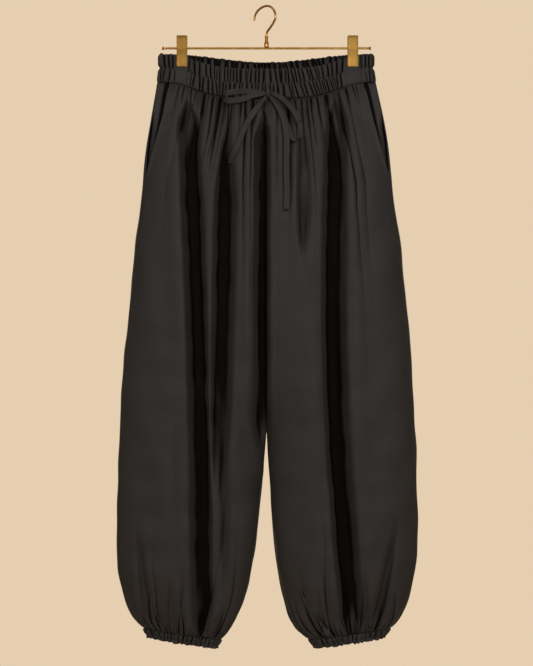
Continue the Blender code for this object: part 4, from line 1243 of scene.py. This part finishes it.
def make_spring(leg):
    """The spring round the bar: close turns of wire."""
    turns, per_turn, wire, radius = 9, 20, 0.62, 3.7
    count = turns * per_turn + 1
    centres = []
    for step in range(count):
        angle = 2 * math.pi * step / per_turn
        x = CLIP_X[leg] + (step / (count - 1) - 0.5) * 10.8
        centres.append(Vector((x, radius * math.cos(angle), -BAR_DOWN + radius * math.sin(angle))))
    sections = wire_sections(centres, [wire] * count, sides=8)
    name = f"clip_{side_name(leg)}_spring"
    return sweep(f"spring_coil_{side_name(leg)}", sections, brass_wire(), "brass", name)


def make_camera():
    """The camera, level with the middle of the photograph and as far off as the setting says."""
    settings = bpy.context.scene.joggers
    sensor = 36.0
    camera = bpy.data.cameras.new("camera")
    camera.sensor_width = sensor
    camera.lens = sensor * settings.camera_distance / VIEW_HEIGHT
    camera.clip_end = 50.0
    stand = new_object("camera", camera)
    stand.location = (0, -settings.camera_distance, VIEW_MIDDLE)
    stand.rotation_euler = (math.pi / 2, 0, 0)
    return stand


def make_floor():
    """A plain round floor, well below the garment."""
    mesh = bmesh.new()
    bmesh.ops.create_circle(mesh, cap_ends=True, segments=96, radius=FLOOR_RADIUS)
    bmesh.ops.translate(mesh, vec=(0, 0, -FLOOR_DOWN), verts=mesh.verts[:])
    data = bpy.data.meshes.new("floor")
    mesh.to_mesh(data)
    mesh.free()
    data.materials.append(painted_floor())
    floor = new_object("floor", data)


def make_lamp(name, place, size, power):
    """A soft square light that looks at the middle of the garment."""
    lamp = bpy.data.lights.new(name, "AREA")
    lamp.shape = "SQUARE"
    lamp.size = size
    lamp.energy = power
    holder = new_object(name, lamp)
    holder.location = place
    aim = Vector((0, 0, VIEW_MIDDLE)) - Vector(place)
    holder.rotation_euler = aim.to_track_quat("-Z", "Y").to_euler()


def make_world():
    """The studio's colour round the garment."""
    world = bpy.data.worlds.new("studio")
    world.use_nodes = True
    tree = world.node_tree
    soft = tree.nodes["Background"]
    soft.inputs["Color"].default_value = (*bpy.context.scene.joggers.backdrop, 1)
    # The camera sees the backdrop at full strength, the brass mirrors it and the cloth gets less
    rays = add_node(tree, "ShaderNodeLightPath").outputs
    mirrored = spread(tree, rays["Is Glossy Ray"], 0.12, 0.4)
    inputs = {0: mirrored, 1: rays["Is Camera Ray"]}
    strength = add_node(tree, "ShaderNodeMath", inputs, operation="MAXIMUM").outputs[0]
    feed(tree, soft, {"Strength": strength})
    return world


# What a user may change


def number_setting(name, description, default, low, high):
    """A number that a user may change."""
    return bpy.props.FloatProperty(name=name, description=description, default=default, min=low, max=high)


def colour_setting(name, description, colour):
    """A colour that a user may change, given as an sRGB hex colour."""
    return bpy.props.FloatVectorProperty(
        name=name, description=description, subtype="COLOR", size=3, default=linear(colour)
    )


class JoggersSettings(bpy.types.PropertyGroup):
    """Sizes and colours of the joggers, the hanger and the studio."""

    panel_thickness: number_setting(
        "Panel thickness", "Thickness of the leg cloth, in millimetres", 1.3, 0.4, 3
    )
    band_thickness: number_setting(
        "Band thickness", "Thickness of waistband and ankle casings, in millimetres", 1.9, 0.5, 4
    )
    gather_depth: number_setting("Gather depth", "How deep the gathers of the leg panels are", 1.0, 0, 2)
    band_depth: number_setting(
        "Band gather depth", "Height of the casings' gathers, in millimetres", 3.7, 0, 5
    )
    cloth_dark: colour_setting("Cloth, dark", "Darker threads of the cloth", "#272423")
    cloth_light: colour_setting("Cloth, light", "Lighter threads of the cloth", "#322e2c")
    # Painted shade: how far the cloth's colour is darkened deep in its folds
    fold_shade: number_setting("Fold shade", "How dark the cloth is deep in its folds", 0.92, 0, 1)
    plate_deep: colour_setting("Plates, deep", "Darker tone of the brass plates", "#7a5b2a")
    plate_bright: colour_setting("Plates, bright", "Lighter tone of the brass plates", "#907139")
    wire_deep: colour_setting("Wire, deep", "Darker tone of the brass wire", "#a5783a")
    wire_bright: colour_setting("Wire, bright", "Lighter tone of the brass wire", "#c2944c")
    backdrop: colour_setting("Backdrop", "Colour of the studio round the garment", "#e6cfb1")
    camera_distance: number_setting(
        "Camera distance", "From the camera to the garment, in metres", 3.5, 1, 20
    )


class JOGGERS_OT_stage(bpy.types.Operator):
    """Make the camera, the floor, the soft lights and the studio's colour"""

    bl_idname = "joggers.stage"
    bl_label = "Studio and camera"

    def execute(self, context):
        scene = context.scene
        scene.camera = make_camera()
        scene.view_settings.view_transform = "Standard"
        make_floor()
        for lamp in LAMPS:
            make_lamp(*lamp)
        scene.world = make_world()
        return {"FINISHED"}


class JOGGERS_OT_drawstring(bpy.types.Operator):
    """Tie the flat drawstring in its bow, with two loops and two free ends"""

    bl_idname = "joggers.drawstring"
    bl_label = "Drawstring"

    def execute(self, context):
        knot = make_knot()
        make_ribbon("tie_tail_left", 56)
        make_ribbon("tie_tail_right", 76)
        make_ribbon("tie_loop_left", 90)
        make_ribbon("tie_loop_right", 100)
        return {"FINISHED"}


class JOGGERS_OT_panels(bpy.types.Operator):
    """Hang the four leg panels, gathered at the waist and the ankles"""

    bl_idname = "joggers.panels"
    bl_label = "Leg panels"

    def execute(self, context):
        thickness = context.scene.joggers.panel_thickness
        for face in (FRONT, BACK):
            for leg in (LEFT, RIGHT):
                name = f"{face_name(face)}_{side_name(leg)}"
                surface = panel_surface(leg, face)
                piece = cloth_sheet(f"leg_panel_{name}", surface, thickness, name, PANEL_PAINTED_SHADE)
        return {"FINISHED"}


class JOGGERS_OT_pockets(bpy.types.Operator):
    """Set the facing behind each slanted pocket mouth"""

    bl_idname = "joggers.pockets"
    bl_label = "Pocket facings"

    def execute(self, context):
        # Painted shade: the facing's inner part, under the panel that covers it, is darkened in its colour
        covered = smooth_step((np.linspace(0, 1, FACING_COLUMNS + 1) - 0.42) / 0.2)
        for leg in (LEFT, RIGHT):
            side = side_name(leg)
            surface = pocket_surface(leg)
            piece = cloth_sheet(
                f"pocket_facing_{side}", surface, 1.0, f"pocket_{side}", FACING_PAINTED_SHADE, covered=covered
            )
        return {"FINISHED"}


class JOGGERS_OT_waistband(bpy.types.Operator):
    """Gather the waistband's two channels on their elastics"""

    bl_idname = "joggers.waistband"
    bl_label = "Waistband"

    def execute(self, context):
        thickness = context.scene.joggers.band_thickness
        for face in (FRONT, BACK):
            name = "waistband_" + face_name(face)
            piece = cloth_sheet(f"elastic_{name}", waistband_surface(face), thickness, name, BAND_PAINTED_SHADE)
        return {"FINISHED"}


class JOGGERS_OT_cuffs(bpy.types.Operator):
    """Gather the ankle casings and flute their hems"""

    bl_idname = "joggers.cuffs"
    bl_label = "Ankle casings"

    def execute(self, context):
        thickness = context.scene.joggers.band_thickness * 0.8
        for leg in (LEFT, RIGHT):
            name = "cuff_" + side_name(leg)
            surface = cuff_surface(leg)
            piece = cloth_sheet(f"elastic_{name}", surface, thickness, name, CUFF_PAINTED_SHADE, closed=True)
        return {"FINISHED"}


class JOGGERS_OT_stitching(bpy.types.Operator):
    """Sew the rows that show: along the casings and beside each pocket mouth"""

    bl_idname = "joggers.stitching"
    bl_label = "Stitching"

    def execute(self, context):
        for face in (FRONT, BACK):
            points, outs, _ = waistband_surface(face)
            rows = [round(BAND_ROWS * part) for part in (0.08, BAND_MIDDLE, 0.93)]
            lines = [(points[row], outs[row]) for row in rows]
            stitches(f"waistband_stitching_{face_name(face)}", lines, 3.1, 2.3, 0.42)
        for leg in (LEFT, RIGHT):
            surface = panel_surface(leg, FRONT)
            downs = surface[2][:, 0, 1]
            rows = [row for row, down in enumerate(downs) if WAIST_SEAM + 3 < down < POCKET_BOTTOM - 8]
            lines = [line_beside_edge(surface, distance, rows) for distance in (1.4, 6.5)]
            stitches(f"pocket_stitching_{side_name(leg)}", lines, 2.9, 2.2, 0.4)
            points, outs, _ = cuff_surface(leg)
            row = round(CUFF_ROWS * CUFF_STITCHED)
            stitches(f"cuff_stitching_{side_name(leg)}", [(points[row], outs[row])], 2.9, 2.1, 0.4)
        return {"FINISHED"}


class JOGGERS_OT_hanger(bpy.types.Operator):
    """Make the hook, the bar and the collar"""

    bl_idname = "joggers.hanger"
    bl_label = "Hanger"

    def execute(self, context):
        make_hook()
        make_bar()
        return {"FINISHED"}


class JOGGERS_OT_clips(bpy.types.Operator):
    """Make the two clips: a pair of plates and a spring each"""

    bl_idname = "joggers.clips"
    bl_label = "Clips"

    def execute(self, context):
        for leg in (LEFT, RIGHT):
            for face in (FRONT, BACK):
                make_clip_plate(leg, face)
            make_spring(leg)
        return {"FINISHED"}


STEPS = (
    JOGGERS_OT_stage,
    JOGGERS_OT_drawstring,
    JOGGERS_OT_panels,
    JOGGERS_OT_pockets,
    JOGGERS_OT_waistband,
    JOGGERS_OT_cuffs,
    JOGGERS_OT_stitching,
    JOGGERS_OT_hanger,
    JOGGERS_OT_clips,
)


class JOGGERS_PT_panel(bpy.types.Panel):
    """The garment's steps and settings"""

    bl_label = "Joggers"
    bl_idname = "JOGGERS_PT_panel"
    bl_space_type = "VIEW_3D"
    bl_region_type = "UI"
    bl_category = "Joggers"

    def draw(self, context):
        settings = context.scene.joggers
        for name in JoggersSettings.__annotations__:
            self.layout.prop(settings, name)
        for step in STEPS:
            self.layout.operator(step.bl_idname)


def register():
    for item in (JoggersSettings, *STEPS, JOGGERS_PT_panel):
        bpy.utils.register_class(item)
    bpy.types.Scene.joggers = bpy.props.PointerProperty(type=JoggersSettings)


def unregister():
    del bpy.types.Scene.joggers
    for item in reversed((JoggersSettings, *STEPS, JOGGERS_PT_panel)):
        bpy.utils.unregister_class(item)


def main():
    register()
    for step in STEPS:
        name = step.bl_idname.split(".")[1]
        getattr(bpy.ops.joggers, name)()


if __name__ == "__main__":
    main()
